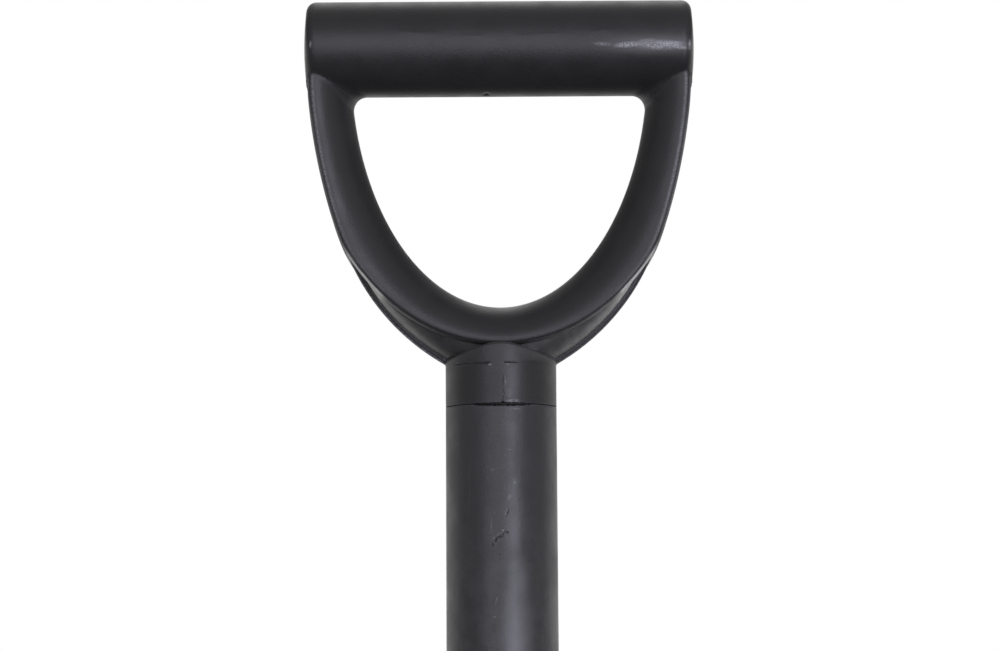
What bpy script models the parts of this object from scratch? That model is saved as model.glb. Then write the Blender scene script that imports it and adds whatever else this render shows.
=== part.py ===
"""A pointed spade with a moulded D handle and a plastic covered steel shaft.

Lengths are in metres. The origin is the middle of the hand grip. +Z runs up the
shaft, +X is to the right, and -Y is the front, which the blade is hollow towards.
"""

import math

import bmesh
import bpy
from mathutils import Vector

# Fits
FIT_GAP = 0.0003  # between two pieces that touch
MERGE_DISTANCE = 0.00005
CUTTER_MARGIN = 1.2  # how many times longer a cutter is than what it cuts

# Hand grip
GRIP_DIAMETER = 0.033
HANDLE_WIDTH = 0.1344
GRIP_END_CROWN = 0.0008
GRIP_END_ROUND = 0.0035

# Opening for the hand: an ellipse, closed at the top by the grip
OPENING_WIDTH = 0.1022
OPENING_DROP = 0.0897  # from the grip's axis to the lowest point
OPENING_CENTRE_DROP = 0.0055
OPENING_CORNER_ROUND = 0.004

# The loop's two lips, front and back: an ellipse, with a flatter arc up each side
LIP_WIDTH = 0.1328  # at the grip's axis
LIP_SIDE_RADIUS = 0.205
LIP_BOWL_WIDTH = 0.1334  # of the ellipse
LIP_DROP = 0.1038
LIP_CENTRE_DROP = 0.0215
LIP_BLEND = 0.0014  # taken off where the arc and the ellipse meet
LIP_SETBACK = 0.0034  # behind the grip's front
LIP_ROUND = 0.0018
LIP_THICKNESS = 0.0032
NOSE_POWER = 1.7  # 2 gives an elliptical hand side, 1 a plain wedge

# The channel between the lips, which swells into a belly above the neck
CHANNEL_DEPTH = 0.005
LIP_UNDERCUT = 0.0008
BELLY_POWER = 1.8  # 2 gives an elliptical belly, 1 a plain wedge
FIN_ROOT = 0.0034
FIN_THICKNESS = 0.0026  # at its edge
FIN_HEIGHT = 0.0028
FIN_LEAST_HEIGHT = 0.0008
FIN_EDGE_ROUND = 0.0005
FLARE_RADIUS = 0.0772
FLARE_SLOPE = math.radians(29.5)  # where the fin runs out into the neck

# Neck and the spigot below it, which plugs the steel tube
NECK_DIAMETER = 0.038
NECK_SKIRT = 0.0146  # from the roof's eaves to the neck's lower end
ROOF_SLOPE = math.radians(16)
ROOF_DROP = 0.0002  # the roof's ridge below the lips
POCKET_DEPTH = 0.0107
SPIGOT_LENGTH = 0.0675
SPIGOT_CHAMFER = 0.002

# Steel tube
CORE_DIAMETER = 0.032
CORE_WALL = 0.0015

# Plastic sleeve
SLEEVE_TOP_DIAMETER = 0.038
SLEEVE_LOWER_DIAMETER = 0.040
SLEEVE_LENGTH = 0.487
SLEEVE_EDGE_ROUND = 0.0004
SKIRT_DIAMETER = 0.045
SKIRT_FLARE = 0.030
SKIRT_OVERLAP = 0.020  # over the socket
SKIRT_EDGE_ROUND = 0.001

# Pins
HANDLE_PIN_DIAMETER = 0.005
HANDLE_PIN_DROP = 0.042  # below the neck's lower end
HANDLE_PIN_SINK = 0.0002  # of each end below the tube's surface
RIVET_DIAMETER = 0.006
RIVET_HEAD_DIAMETER = 0.012
RIVET_HEAD_HEIGHT = 0.003
RIVET_DROP = 0.045  # of the upper rivet below the socket's mouth
RIVET_PITCH = 0.035

# Hardwood plug in the tube's lower end
PLUG_LENGTH = 0.100
PLUG_CHAMFER = 0.0015

# Socket of the blade
SOCKET_WALL = 0.0026
SOCKET_DEPTH = 0.102
SOCKET_NECK = 0.038  # from the bore's floor to the shoulder
FROG_WIDTH = 0.042
FROG_DEPTH = 0.026
FROG_LENGTH = 0.130
FROG_FADE_POWER = 1.5  # how quickly its ridge sinks into the sheet
FROG_SUNK = 0.99  # share of its length after which it lies inside the sheet

# Blade
BLADE_WIDTH = 0.194
BLADE_LENGTH = 0.290
BLADE_THICKNESS = 0.0022
BLADE_TAPER = 0.200  # length of the pointed part
TAPER_POWER = 2.0  # how softly the taper begins
TIP_POWER = 0.72  # 0.5 gives a round end, 1 a straight point
BLADE_DISH = 0.014  # of the sides, forward of the middle
BLADE_LIFT = 0.022  # of the tip, forward of the shoulder
LIFT_POWER = 1.6
SHOULDER_ROUND = 0.008
TIP_BLUNT = 0.004

# Foot treads, welded along the shoulder
TREAD_THICKNESS = 0.004
TREAD_DEPTH = 0.020
TREAD_STANDOFF = 0.003  # from the frog
TREAD_EDGE_ROUND = 0.001

# Fineness of the round surfaces
ROUND_STEPS = 40
PIN_STEPS = 24
ARC_STEPS = 4
CROWN_STEPS = 2
LOOP_STEPS = 20
NOSE_STEPS = 8
BELLY_STEPS = 5
SHEET_COLUMNS = 18
SHEET_ROWS = 24
FROG_STEPS = 12
TREAD_STEPS = 10
SMOOTH_ANGLE = math.radians(32)

# Radii that follow from the sizes above
GRIP_RADIUS = GRIP_DIAMETER / 2
NECK_RADIUS = NECK_DIAMETER / 2
CORE_RADIUS = CORE_DIAMETER / 2
CORE_BORE_RADIUS = CORE_RADIUS - CORE_WALL
PLUG_RADIUS = CORE_BORE_RADIUS - FIT_GAP
SOCKET_BORE_RADIUS = CORE_RADIUS + FIT_GAP
SOCKET_RADIUS = SOCKET_BORE_RADIUS + SOCKET_WALL
LIP_DEPTH = GRIP_RADIUS - LIP_SETBACK

# Heights that follow, from the grip down to the tip
ROOF_RIDGE = -LIP_DROP - ROOF_DROP
ROOF_EAVES = ROOF_RIDGE - NECK_RADIUS * math.tan(ROOF_SLOPE)
NECK_END = ROOF_EAVES - NECK_SKIRT
POCKET_FLOOR = NECK_END + POCKET_DEPTH
CORE_TOP = POCKET_FLOOR - FIT_GAP
SLEEVE_TOP = NECK_END - FIT_GAP
SLEEVE_BOTTOM = SLEEVE_TOP - SLEEVE_LENGTH
SOCKET_MOUTH = SLEEVE_BOTTOM + SKIRT_OVERLAP
SOCKET_FLOOR = SOCKET_MOUTH - SOCKET_DEPTH
CORE_BOTTOM = SOCKET_FLOOR + FIT_GAP
SHOULDER = SOCKET_FLOOR - SOCKET_NECK


def linear(hex_colour):
    """Linear colour of an sRGB hex code, with full alpha."""
    values = [int(hex_colour[i : i + 2], 16) / 255 for i in (1, 3, 5)]
    return [v / 12.92 if v <= 0.04045 else ((v + 0.055) / 1.055) ** 2.4 for v in values] + [1]


def finish(name, hex_colour, roughness, metallic=0.0):
    """Material with one Principled shader."""
    material = bpy.data.materials.new(name)
    material.use_nodes = True
    shader = material.node_tree.nodes["Principled BSDF"]
    shader.inputs["Base Color"].default_value = linear(hex_colour)
    shader.inputs["Roughness"].default_value = roughness
    shader.inputs["Metallic"].default_value = metallic
    material.diffuse_color = linear(hex_colour)
    return material


def new_object(name, mesh, collection):
    """Object for a mesh, linked to a collection."""
    obj = bpy.data.objects.new(name, mesh)
    collection.objects.link(obj)
    if collection is CUTTERS:
        obj.hide_render = True
        obj.display_type = "WIRE"
    return obj


def mesh_from(name, bm):
    """Mesh with the contents of a bmesh, which is freed."""
    mesh = bpy.data.meshes.new(name)
    bm.to_mesh(mesh)
    bm.free()
    return mesh


def arc(centre, radius, start, stop, steps=ARC_STEPS):
    """Points along a circular arc, angles in degrees."""
    angles = [math.radians(start + (stop - start) * i / steps) for i in range(steps + 1)]
    return [(centre[0] + radius * math.cos(a), centre[1] + radius * math.sin(a)) for a in angles]


def turned(name, profile, collection, steps=ROUND_STEPS, ring=False):
    """Shape turned about Z from (radius, height) points, which run down its outer side.

    A ring's profile is a closed loop. Any other begins and ends on the axis.
    """
    edges = [(i, i + 1) for i in range(len(profile) - 1)]
    if ring:
        edges.append((len(profile) - 1, 0))
    mesh = bpy.data.meshes.new(name)
    mesh.from_pydata([(radius, 0, height) for radius, height in profile], edges, [])
    obj = new_object(name, mesh, collection)
    screw = obj.modifiers.new("Turn", "SCREW")
    screw.steps = screw.render_steps = steps
    screw.use_merge_vertices = True
    screw.merge_threshold = MERGE_DISTANCE
    return obj


def cylinder(name, radius, length, collection, steps=ROUND_STEPS):
    """Plain cylinder along Z, with its middle at the object's origin."""
    bm = bmesh.new()
    bmesh.ops.create_cone(
        bm, cap_ends=True, segments=steps, radius1=radius, radius2=radius, depth=length
    )
    return new_object(name, mesh_from(name, bm), collection)


def plate(name, outline, thickness, collection):
    """Flat outline in XY, extruded to both sides of Z = 0."""
    curve = bpy.data.curves.new(name, "CURVE")
    curve.dimensions = "2D"
    curve.fill_mode = "BOTH"
    curve.extrude = thickness / 2
    spline = curve.splines.new("POLY")
    spline.points.add(len(outline) - 1)
    spline.use_cyclic_u = True
    for point, (x, y) in zip(spline.points, outline):
        point.co = (x, y, 0, 1)
    drawn = bpy.data.objects.new(name + "_outline", curve)
    collection.objects.link(drawn)
    graph = bpy.context.evaluated_depsgraph_get()
    mesh = bpy.data.meshes.new_from_object(drawn.evaluated_get(graph))
    bpy.data.objects.remove(drawn)
    bm = bmesh.new()
    bm.from_mesh(mesh)
    bmesh.ops.remove_doubles(bm, verts=bm.verts, dist=MERGE_DISTANCE)
    bmesh.ops.recalc_face_normals(bm, faces=bm.faces)
    bm.to_mesh(mesh)
    bm.free()
    return new_object(name, mesh, collection)


def combine(target, operation, *others):
    """Adds a Boolean with each of the other objects."""
    for other in others:
        modifier = target.modifiers.new(other.name, "BOOLEAN")
        modifier.operation = operation
        modifier.solver = "EXACT"
        modifier.object = other


def round_edges(obj, width, segments=2):
    """Bevels the object's sharp edges."""
    bevel = obj.modifiers.new("Edges", "BEVEL")
    bevel.width = width
    bevel.segments = segments
    bevel.limit_method = "ANGLE"
    bevel.angle_limit = SMOOTH_ANGLE


def complete(obj, material, root):
    """Bakes the modifiers, shades round surfaces smooth, and hangs the piece on the root."""
    graph = bpy.context.evaluated_depsgraph_get()
    mesh = bpy.data.meshes.new_from_object(obj.evaluated_get(graph))
    obj.modifiers.clear()
    obj.data = mesh
    mesh.name = obj.name
    mesh.materials.clear()
    mesh.materials.append(material)
    mesh.shade_smooth()
    mesh.set_sharp_from_angle(angle=SMOOTH_ANGLE)
    obj.parent = root


def reach(start, heading, centre, half_width, half_height):
    """Distance from a point to an ellipse round it, along a heading, all in XZ."""
    scale = Vector((1 / half_width, 1 / half_height))
    offset = (start - centre) * scale
    step = heading * scale
    along = step.dot(offset)
    root = along**2 - step.dot(step) * (offset.dot(offset) - 1)
    return (math.sqrt(max(root, 0)) - along) / step.dot(step)


def lip_reach(start, heading):
    """Distance to the lips' edge: the nearer of its ellipse and its side arc, blended."""
    bowl_centre = Vector((0, -LIP_CENTRE_DROP))
    bowl = reach(start, heading, bowl_centre, LIP_BOWL_WIDTH / 2, LIP_DROP - LIP_CENTRE_DROP)
    side_centre = Vector((LIP_WIDTH / 2 - LIP_SIDE_RADIUS, 0))
    side = reach(start, heading, side_centre, LIP_SIDE_RADIUS, LIP_SIDE_RADIUS)
    overlap = max(LIP_BLEND - abs(bowl - side), 0) / LIP_BLEND
    return min(bowl, side) - overlap**2 * LIP_BLEND / 4


def flare_reach(start, heading):
    """Distance to the arc that the fin follows into the neck."""
    foot = Vector((NECK_RADIUS, ROOF_EAVES))
    to_centre = Vector((-math.sin(FLARE_SLOPE), math.cos(FLARE_SLOPE)))
    centre = foot + FLARE_RADIUS * to_centre
    return reach(start, heading, centre, FLARE_RADIUS, FLARE_RADIUS)


def corner_inset(height, forward):
    """How far the round corner under the grip pushes the loop's hand side inward."""
    grip_surface = -math.sqrt(GRIP_RADIUS**2 - min(forward, GRIP_RADIUS) ** 2)
    below = min(max(grip_surface - height, 0), OPENING_CORNER_ROUND)
    return OPENING_CORNER_ROUND - math.sqrt(below * (2 * OPENING_CORNER_ROUND - below))


def loop_section(height, width, crown, tip):
    """Front half of the loop's section, as (outward, forward) points.

    It runs from the crest on the hand side, over the lip, along the channel or
    belly, to the middle of the fin's edge.

    height is the crest's. width is the lip's distance from the crest, crown the
    channel floor's or the belly's, and tip the fin's.
    """
    apex = width - LIP_ROUND
    points = []
    for i in range(NOSE_STEPS + 1):
        turn = math.pi / 2 * i / NOSE_STEPS
        back = math.cos(turn) ** (2 / NOSE_POWER)
        forward = LIP_DEPTH * math.sin(turn) ** (2 / NOSE_POWER)
        points.append((apex * (1 - back) - back * corner_inset(height, forward), forward))
    points += arc((apex, LIP_DEPTH - LIP_ROUND), LIP_ROUND, 90, 0)[1:]
    floor_edge = LIP_DEPTH - LIP_THICKNESS
    floor_start = min(crown, width - LIP_UNDERCUT)
    points.append((width - LIP_UNDERCUT / 2, floor_edge + LIP_ROUND / 4))
    for i in range(BELLY_STEPS + 1):
        turn = math.pi / 2 * i / BELLY_STEPS
        outward = floor_start + (crown - floor_start) * math.sin(turn) ** (2 / BELLY_POWER)
        inward = max(math.cos(turn), 0) ** (2 / BELLY_POWER)
        forward = FIN_ROOT / 2 + (floor_edge - FIN_ROOT / 2) * inward
        points.append((outward, forward))
    points.append((tip - FIN_EDGE_ROUND, FIN_THICKNESS / 2))
    points.append((tip, FIN_THICKNESS / 2 - FIN_EDGE_ROUND))
    points.append((tip, 0))
    return points


def loop_stations():
    """Angles on the opening's ellipse, from inside the grip down to its lowest point."""
    lip_entry = math.sqrt(GRIP_RADIUS**2 - LIP_DEPTH**2)
    drops = [-lip_entry]
    drops += [lip_entry + (GRIP_RADIUS - lip_entry) * i / ARC_STEPS for i in range(ARC_STEPS)]
    for i in range(ARC_STEPS + 1):
        turn = math.pi / 2 * i / ARC_STEPS
        drops.append(GRIP_RADIUS + OPENING_CORNER_ROUND * (1 - math.cos(turn)))
    half_height = OPENING_DROP - OPENING_CENTRE_DROP
    angles = [math.asin((drop - OPENING_CENTRE_DROP) / half_height) for drop in drops]
    first = angles[-1]
    angles += [first + (math.pi / 2 - first) * i / LOOP_STEPS for i in range(1, LOOP_STEPS + 1)]
    return angles


def loop_ring(angle, taper):
    """Points of the loop's section at one station, in space.

    taper draws the lip in, to keep it inside the grip's rounded end.
    """
    half_width = OPENING_WIDTH / 2
    half_height = OPENING_DROP - OPENING_CENTRE_DROP
    crest = Vector((half_width * math.cos(angle), -OPENING_CENTRE_DROP - half_height * math.sin(angle)))
    heading = Vector((math.cos(angle) / half_width, -math.sin(angle) / half_height)).normalized()
    width = lip_reach(crest, heading) - taper
    flare = flare_reach(crest, heading)
    crown = max(width - CHANNEL_DEPTH, flare - FIN_HEIGHT)
    tip = max(flare, crown + FIN_LEAST_HEIGHT)
    ring = []
    for outward, forward in loop_section(crest.y, width, crown, tip):
        place = crest + outward * heading
        ring.append((place.x, -forward, place.y))
    return ring


def make_loop(name, collection):
    """The U of the handle: a quarter of its skin, lofted along the opening and mirrored twice."""
    bm = bmesh.new()
    rings = []
    for i, angle in enumerate(loop_stations()):
        ring = loop_ring(angle, GRIP_END_ROUND if i == 0 else 0)
        rings.append([bm.verts.new(point) for point in ring])
    for upper, lower in zip(rings, rings[1:]):
        for i in range(len(upper) - 1):
            bm.faces.new((upper[i], upper[i + 1], lower[i + 1], lower[i]))
    bm.faces.new(reversed(rings[0]))
    for vert in rings[-1]:
        vert.co.x = 0
    obj = new_object(name, mesh_from(name, bm), collection)
    mirror = obj.modifiers.new("Halves", "MIRROR")
    mirror.use_axis = (True, True, False)
    mirror.use_clip = True
    mirror.merge_threshold = MERGE_DISTANCE
    return obj


def make_grip():
    """The bar for the hand, turned about Z and laid along X."""
    end = HANDLE_WIDTH / 2
    edge = end - GRIP_END_CROWN
    rim = GRIP_RADIUS - GRIP_END_ROUND
    corner = arc((rim, edge - GRIP_END_ROUND), GRIP_END_ROUND, 90, 0)
    shares = [i / CROWN_STEPS for i in range(CROWN_STEPS)]
    crown = [(rim * share, end - GRIP_END_CROWN * share**2) for share in shares]
    half = [*crown, *corner]
    profile = half + [(radius, -height) for radius, height in reversed(half)]
    grip = turned("grip_bar", profile, CUTTERS)
    grip.rotation_euler.y = math.pi / 2
    return grip


def make_neck():
    """Round neck under a gabled roof, with the spigot that plugs the steel tube."""
    spigot_end = NECK_END - SPIGOT_LENGTH
    profile = [
        (0, ROOF_RIDGE + NECK_RADIUS),
        (NECK_RADIUS, ROOF_RIDGE + NECK_RADIUS),
        (NECK_RADIUS, NECK_END),
        (PLUG_RADIUS, NECK_END),
        (PLUG_RADIUS, spigot_end + SPIGOT_CHAMFER),
        (PLUG_RADIUS - SPIGOT_CHAMFER, spigot_end),
        (0, spigot_end),
    ]
    neck = turned("neck", profile, CUTTERS)
    side = NECK_RADIUS * CUTTER_MARGIN
    eaves = ROOF_RIDGE - side * math.tan(ROOF_SLOPE)
    bottom = spigot_end - side
    house = [(-side, bottom), (side, bottom), (side, eaves), (0, ROOF_RIDGE), (-side, eaves)]
    roof = plate("neck_roof", house, 2 * side, CUTTERS)
    roof.rotation_euler.x = math.pi / 2
    combine(neck, "INTERSECT", roof)
    return neck


def make_handle(root):
    """The moulded handle: grip, loop, neck and spigot in one piece."""
    handle = make_loop("d_handle", PARTS)
    pocket_profile = [
        (SOCKET_BORE_RADIUS, POCKET_FLOOR),
        (SOCKET_BORE_RADIUS, NECK_END - POCKET_DEPTH),
        (PLUG_RADIUS, NECK_END - POCKET_DEPTH),
        (PLUG_RADIUS, POCKET_FLOOR),
    ]
    pocket = turned("tube_pocket", pocket_profile, CUTTERS, ring=True)
    combine(handle, "UNION", make_grip(), make_neck())
    combine(handle, "DIFFERENCE", pocket, pin_hole("spigot_hole"))
    complete(handle, finish("black polypropylene", "#2E2E30", 0.42), root)


def pin_hole(name):
    """Cutter for the cross pin's hole."""
    radius = HANDLE_PIN_DIAMETER / 2 + FIT_GAP
    hole = cylinder(name, radius, NECK_DIAMETER, CUTTERS, PIN_STEPS)
    hole.location.z = NECK_END - HANDLE_PIN_DROP
    hole.rotation_euler.y = math.pi / 2
    return hole


def rivet_heights():
    """Heights of the upper and the lower rivet."""
    upper = SOCKET_MOUTH - RIVET_DROP
    return upper, upper - RIVET_PITCH


def rivet_holes(name, spread):
    """Cutters for the two rivets, where spread is the width of what they pierce."""
    holes = []
    for place, height in zip(("upper", "lower"), rivet_heights()):
        radius = RIVET_DIAMETER / 2 + FIT_GAP
        hole = cylinder(f"{name}_{place}", radius, spread * CUTTER_MARGIN, CUTTERS, PIN_STEPS)
        hole.location.z = height
        hole.rotation_euler.x = math.pi / 2
        holes.append(hole)
    return holes


def make_core(root):
    """Steel tube from the handle's pocket down to the floor of the blade's socket."""
    profile = [
        (CORE_RADIUS, CORE_TOP),
        (CORE_RADIUS, CORE_BOTTOM),
        (CORE_BORE_RADIUS, CORE_BOTTOM),
        (CORE_BORE_RADIUS, CORE_TOP),
    ]
    core = turned("shaft_core", profile, PARTS, ring=True)
    combine(core, "DIFFERENCE", pin_hole("core_hole"), *rivet_holes("core_hole", CORE_DIAMETER))
    complete(core, finish("galvanised steel", "#9A9C9E", 0.38, 1.0), root)


def make_sleeve(root):
    """Plastic cover on the tube, which widens downwards and laps over the socket."""
    bore = CORE_RADIUS + FIT_GAP
    lap = SOCKET_RADIUS + FIT_GAP
    lap_top = SOCKET_MOUTH + FIT_GAP
    top = SLEEVE_TOP_DIAMETER / 2
    lower = SLEEVE_LOWER_DIAMETER / 2
    skirt = SKIRT_DIAMETER / 2
    flare_start = SLEEVE_BOTTOM + SKIRT_FLARE
    profile = arc((top - SLEEVE_EDGE_ROUND, SLEEVE_TOP - SLEEVE_EDGE_ROUND), SLEEVE_EDGE_ROUND, 90, 0)
    flare_end = SLEEVE_BOTTOM + SKIRT_EDGE_ROUND
    for i in range(ARC_STEPS + 1):
        share = i / ARC_STEPS
        height = flare_start + (flare_end - flare_start) * share
        profile.append((lower + (skirt - lower) * (1 - math.cos(math.pi * share)) / 2, height))
    profile += arc((skirt - SKIRT_EDGE_ROUND, flare_end), SKIRT_EDGE_ROUND, 0, -90)[1:]
    profile += [(lap, SLEEVE_BOTTOM), (lap, lap_top), (bore, lap_top), (bore, SLEEVE_TOP)]
    sleeve = turned("shaft_sleeve", profile, PARTS, ring=True)
    complete(sleeve, finish("black plastic sleeve", "#2B2B2E", 0.48), root)


def make_plug(root):
    """Hardwood dowel that backs the tube where the rivets squeeze it."""
    top = CORE_BOTTOM + PLUG_LENGTH
    profile = [
        (0, top),
        (PLUG_RADIUS - PLUG_CHAMFER, top),
        (PLUG_RADIUS, top - PLUG_CHAMFER),
        (PLUG_RADIUS, CORE_BOTTOM),
        (0, CORE_BOTTOM),
    ]
    plug = turned("bottom_plug", profile, PARTS)
    combine(plug, "DIFFERENCE", *rivet_holes("plug_hole", CORE_DIAMETER))
    complete(plug, finish("beech", "#B98F62", 0.6), root)


def make_handle_pin(root):
    """Cross pin that locks the handle's spigot in the tube."""
    length = CORE_DIAMETER - 2 * HANDLE_PIN_SINK
    pin = cylinder("handle_pin", HANDLE_PIN_DIAMETER / 2, length, PARTS, PIN_STEPS)
    pin.location.z = NECK_END - HANDLE_PIN_DROP
    pin.rotation_euler.y = math.pi / 2
    complete(pin, finish("pin steel", "#8C8E90", 0.35, 1.0), root)


def make_rivets(root):
    """Two domed rivets through the socket, the tube and the plug."""
    seat = SOCKET_RADIUS + FIT_GAP
    dome = []
    for i in range(ARC_STEPS + 1):
        turn = math.pi / 2 * i / ARC_STEPS
        radius = RIVET_HEAD_DIAMETER / 2 * math.sin(turn)
        dome.append((radius, seat + RIVET_HEAD_HEIGHT * math.cos(turn)))
    half = [*dome, (RIVET_DIAMETER / 2, seat)]
    profile = half + [(radius, -height) for radius, height in reversed(half)]
    steel = finish("rivet steel", "#7B7C7E", 0.4, 1.0)
    for place, height in zip(("upper", "lower"), rivet_heights()):
        rivet = turned(f"rivet_{place}", profile, PARTS, PIN_STEPS)
        rivet.location.z = height
        rivet.rotation_euler.x = math.pi / 2
        complete(rivet, steel, root)


def blade_half_width(drop):
    """Half the blade's width at a drop below the shoulder."""
    half_width = BLADE_WIDTH / 2
    from_tip = BLADE_LENGTH - drop
    if drop < SHOULDER_ROUND:
        rise = SHOULDER_ROUND - drop
        return half_width - SHOULDER_ROUND + math.sqrt(SHOULDER_ROUND**2 - rise**2)
    if from_tip < BLADE_TAPER:
        share = (1 - (1 - from_tip / BLADE_TAPER) ** TAPER_POWER) ** TIP_POWER
        return max(half_width * share, TIP_BLUNT / 2)
    return half_width


def blade_forward(across, drop):
    """How far forward the middle of the blade's sheet lies."""
    dish = BLADE_DISH * (across / (BLADE_WIDTH / 2)) ** 2
    lift = BLADE_LIFT * max(drop / BLADE_LENGTH, 0) ** LIFT_POWER
    return dish + lift


def make_sheet(name, collection):
    """The blade's dished sheet: a grid drawn to the outline and thickened."""
    bm = bmesh.new()
    bmesh.ops.create_grid(bm, x_segments=SHEET_COLUMNS, y_segments=SHEET_ROWS, size=1)
    for vert in bm.verts:
        down = (1 - vert.co.y) / 2
        drop = BLADE_LENGTH * (1 - math.cos(math.pi * down)) / 2
        across = blade_half_width(drop) * vert.co.x
        vert.co = (across, -blade_forward(across, drop), SHOULDER - drop)
    obj = new_object(name, mesh_from(name, bm), collection)
    solidify = obj.modifiers.new("Sheet", "SOLIDIFY")
    solidify.thickness = BLADE_THICKNESS
    solidify.offset = 0
    solidify.use_even_offset = True
    return obj


def socket_section(height):
    """Half width, half depth and forward offset of the socket and frog at a height."""
    if height >= SOCKET_FLOOR:
        return SOCKET_RADIUS, SOCKET_RADIUS, 0
    if height >= SHOULDER:
        share = (SOCKET_FLOOR - height) / SOCKET_NECK
        ease = share * share * (3 - 2 * share)
        half_width = SOCKET_RADIUS + (FROG_WIDTH / 2 - SOCKET_RADIUS) * ease
        return half_width, SOCKET_RADIUS + (FROG_DEPTH / 2 - SOCKET_RADIUS) * ease, 0
    drop = SHOULDER - height
    share = drop / FROG_LENGTH
    half_width = FROG_WIDTH / 2 * math.sqrt(1 - share**2)
    half_depth = FROG_DEPTH / 2 * (1 - share) ** FROG_FADE_POWER
    return half_width, max(half_depth, BLADE_THICKNESS / 4), blade_forward(0, drop)


def make_socket():
    """Round socket that flattens into the frog, the ridge down the blade's middle."""
    heights = [SOCKET_MOUTH, SOCKET_FLOOR]
    heights += [SOCKET_FLOOR - SOCKET_NECK * i / ARC_STEPS for i in range(1, ARC_STEPS + 1)]
    end = FROG_SUNK * FROG_LENGTH
    heights += [SHOULDER - end * i / FROG_STEPS for i in range(1, FROG_STEPS + 1)]
    bm = bmesh.new()
    rings = []
    for height in heights:
        half_width, half_depth, forward = socket_section(height)
        ring = []
        for i in range(ROUND_STEPS):
            angle = 2 * math.pi * i / ROUND_STEPS
            x, y = half_width * math.cos(angle), half_depth * math.sin(angle) - forward
            ring.append(bm.verts.new((x, y, height)))
        rings.append(ring)
    for upper, lower in zip(rings, rings[1:]):
        for i in range(ROUND_STEPS):
            following = (i + 1) % ROUND_STEPS
            bm.faces.new((upper[i], lower[i], lower[following], upper[following]))
    bm.faces.new(rings[0])
    bm.faces.new(reversed(rings[-1]))
    return new_object("socket_and_frog", mesh_from("socket_and_frog", bm), CUTTERS)


def make_blade(root):
    """The steel head: dished blade, frog and the socket for the shaft."""
    blade = make_sheet("blade", PARTS)
    bore_top = SOCKET_MOUTH + SKIRT_OVERLAP
    bore = cylinder("socket_bore", SOCKET_BORE_RADIUS, bore_top - SOCKET_FLOOR, CUTTERS)
    bore.location.z = (bore_top + SOCKET_FLOOR) / 2
    combine(blade, "UNION", make_socket())
    combine(blade, "DIFFERENCE", bore, *rivet_holes("socket_hole", 2 * SOCKET_RADIUS))
    complete(blade, finish("coated steel", "#303235", 0.45, 0.35), root)


def make_treads(root):
    """A flat tread on each half of the shoulder, which follows the dish."""
    coat = finish("coated tread steel", "#2C2E31", 0.5, 0.35)
    inner = FROG_WIDTH / 2 + TREAD_STANDOFF
    outer = BLADE_WIDTH / 2 - SHOULDER_ROUND
    for name, side in (("tread_left", -1), ("tread_right", 1)):
        across = [inner + (outer - inner) * i / TREAD_STEPS for i in range(TREAD_STEPS + 1)]
        front = [(side * x, -blade_forward(x, 0) - TREAD_DEPTH / 2) for x in across]
        back = [(x, y + TREAD_DEPTH) for x, y in reversed(front)]
        tread = plate(name, front + back, TREAD_THICKNESS, PARTS)
        tread.location.z = SHOULDER + FIT_GAP + TREAD_THICKNESS / 2
        round_edges(tread, TREAD_EDGE_ROUND)
        complete(tread, coat, root)


def new_collection(name):
    """Collection linked to the scene."""
    collection = bpy.data.collections.new(name)
    bpy.context.scene.collection.children.link(collection)
    return collection


for old in list(bpy.data.objects):
    bpy.data.objects.remove(old)
PARTS = new_collection("pointed_spade")
CUTTERS = new_collection("cutters")

spade = bpy.data.objects.new("spade", None)
PARTS.objects.link(spade)
make_handle(spade)
make_core(spade)
make_sleeve(spade)
make_plug(spade)
make_handle_pin(spade)
make_blade(spade)
make_rivets(spade)
make_treads(spade)
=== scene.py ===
"""The looks of a pointed spade with a moulded D handle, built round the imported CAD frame.

Lengths are in metres. The origin is the middle of the hand grip. +Z runs up the shaft, +X is to the
right, and -Y is the front, which the blade is hollow towards.
"""

import logging
import math
from collections.abc import Callable
from dataclasses import dataclass
from enum import Enum
from functools import partial

import bmesh
import bpy
import numpy as np
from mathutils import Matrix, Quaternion, Vector, noise
from mathutils.bvhtree import BVHTree


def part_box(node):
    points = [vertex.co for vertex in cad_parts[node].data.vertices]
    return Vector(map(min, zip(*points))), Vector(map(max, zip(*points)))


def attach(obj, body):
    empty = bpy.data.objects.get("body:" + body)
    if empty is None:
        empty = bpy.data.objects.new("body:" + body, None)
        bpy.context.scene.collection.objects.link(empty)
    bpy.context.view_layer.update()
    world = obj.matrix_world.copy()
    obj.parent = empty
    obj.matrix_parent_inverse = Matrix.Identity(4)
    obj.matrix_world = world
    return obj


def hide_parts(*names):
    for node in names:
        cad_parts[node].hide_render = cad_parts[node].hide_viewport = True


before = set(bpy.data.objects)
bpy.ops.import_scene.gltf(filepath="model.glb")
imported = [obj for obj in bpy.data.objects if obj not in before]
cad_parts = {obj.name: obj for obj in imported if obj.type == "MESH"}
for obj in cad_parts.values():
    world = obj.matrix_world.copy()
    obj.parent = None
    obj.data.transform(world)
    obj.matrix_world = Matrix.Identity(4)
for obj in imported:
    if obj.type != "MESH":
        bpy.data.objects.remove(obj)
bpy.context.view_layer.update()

LOG = logging.getLogger("spade")
MILLIMETRE = 0.001
SMOOTH_ANGLE = math.radians(35)
BEVEL_ANGLE = math.radians(50)
QUARTER_TURN = math.pi / 2
WELD_DISTANCE = 0.00002
FACING = 0.9  # a face looks along an axis when its normal has this much of it
SQUARE = 0.999  # a face is square to an axis when its normal has this much of it

Piece = bpy.types.Object
Material = bpy.types.Material
Tree = bpy.types.NodeTree
Node = bpy.types.Node
Socket = bpy.types.NodeSocket
Adder = Callable[..., Node]  # add_node, with its tree given
Surface = tuple[Node, Node, Node]  # colour, roughness and relief
Point = tuple[float, float, float]
Range = tuple[float, float]
Profile = list[tuple[float, float]]


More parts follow.
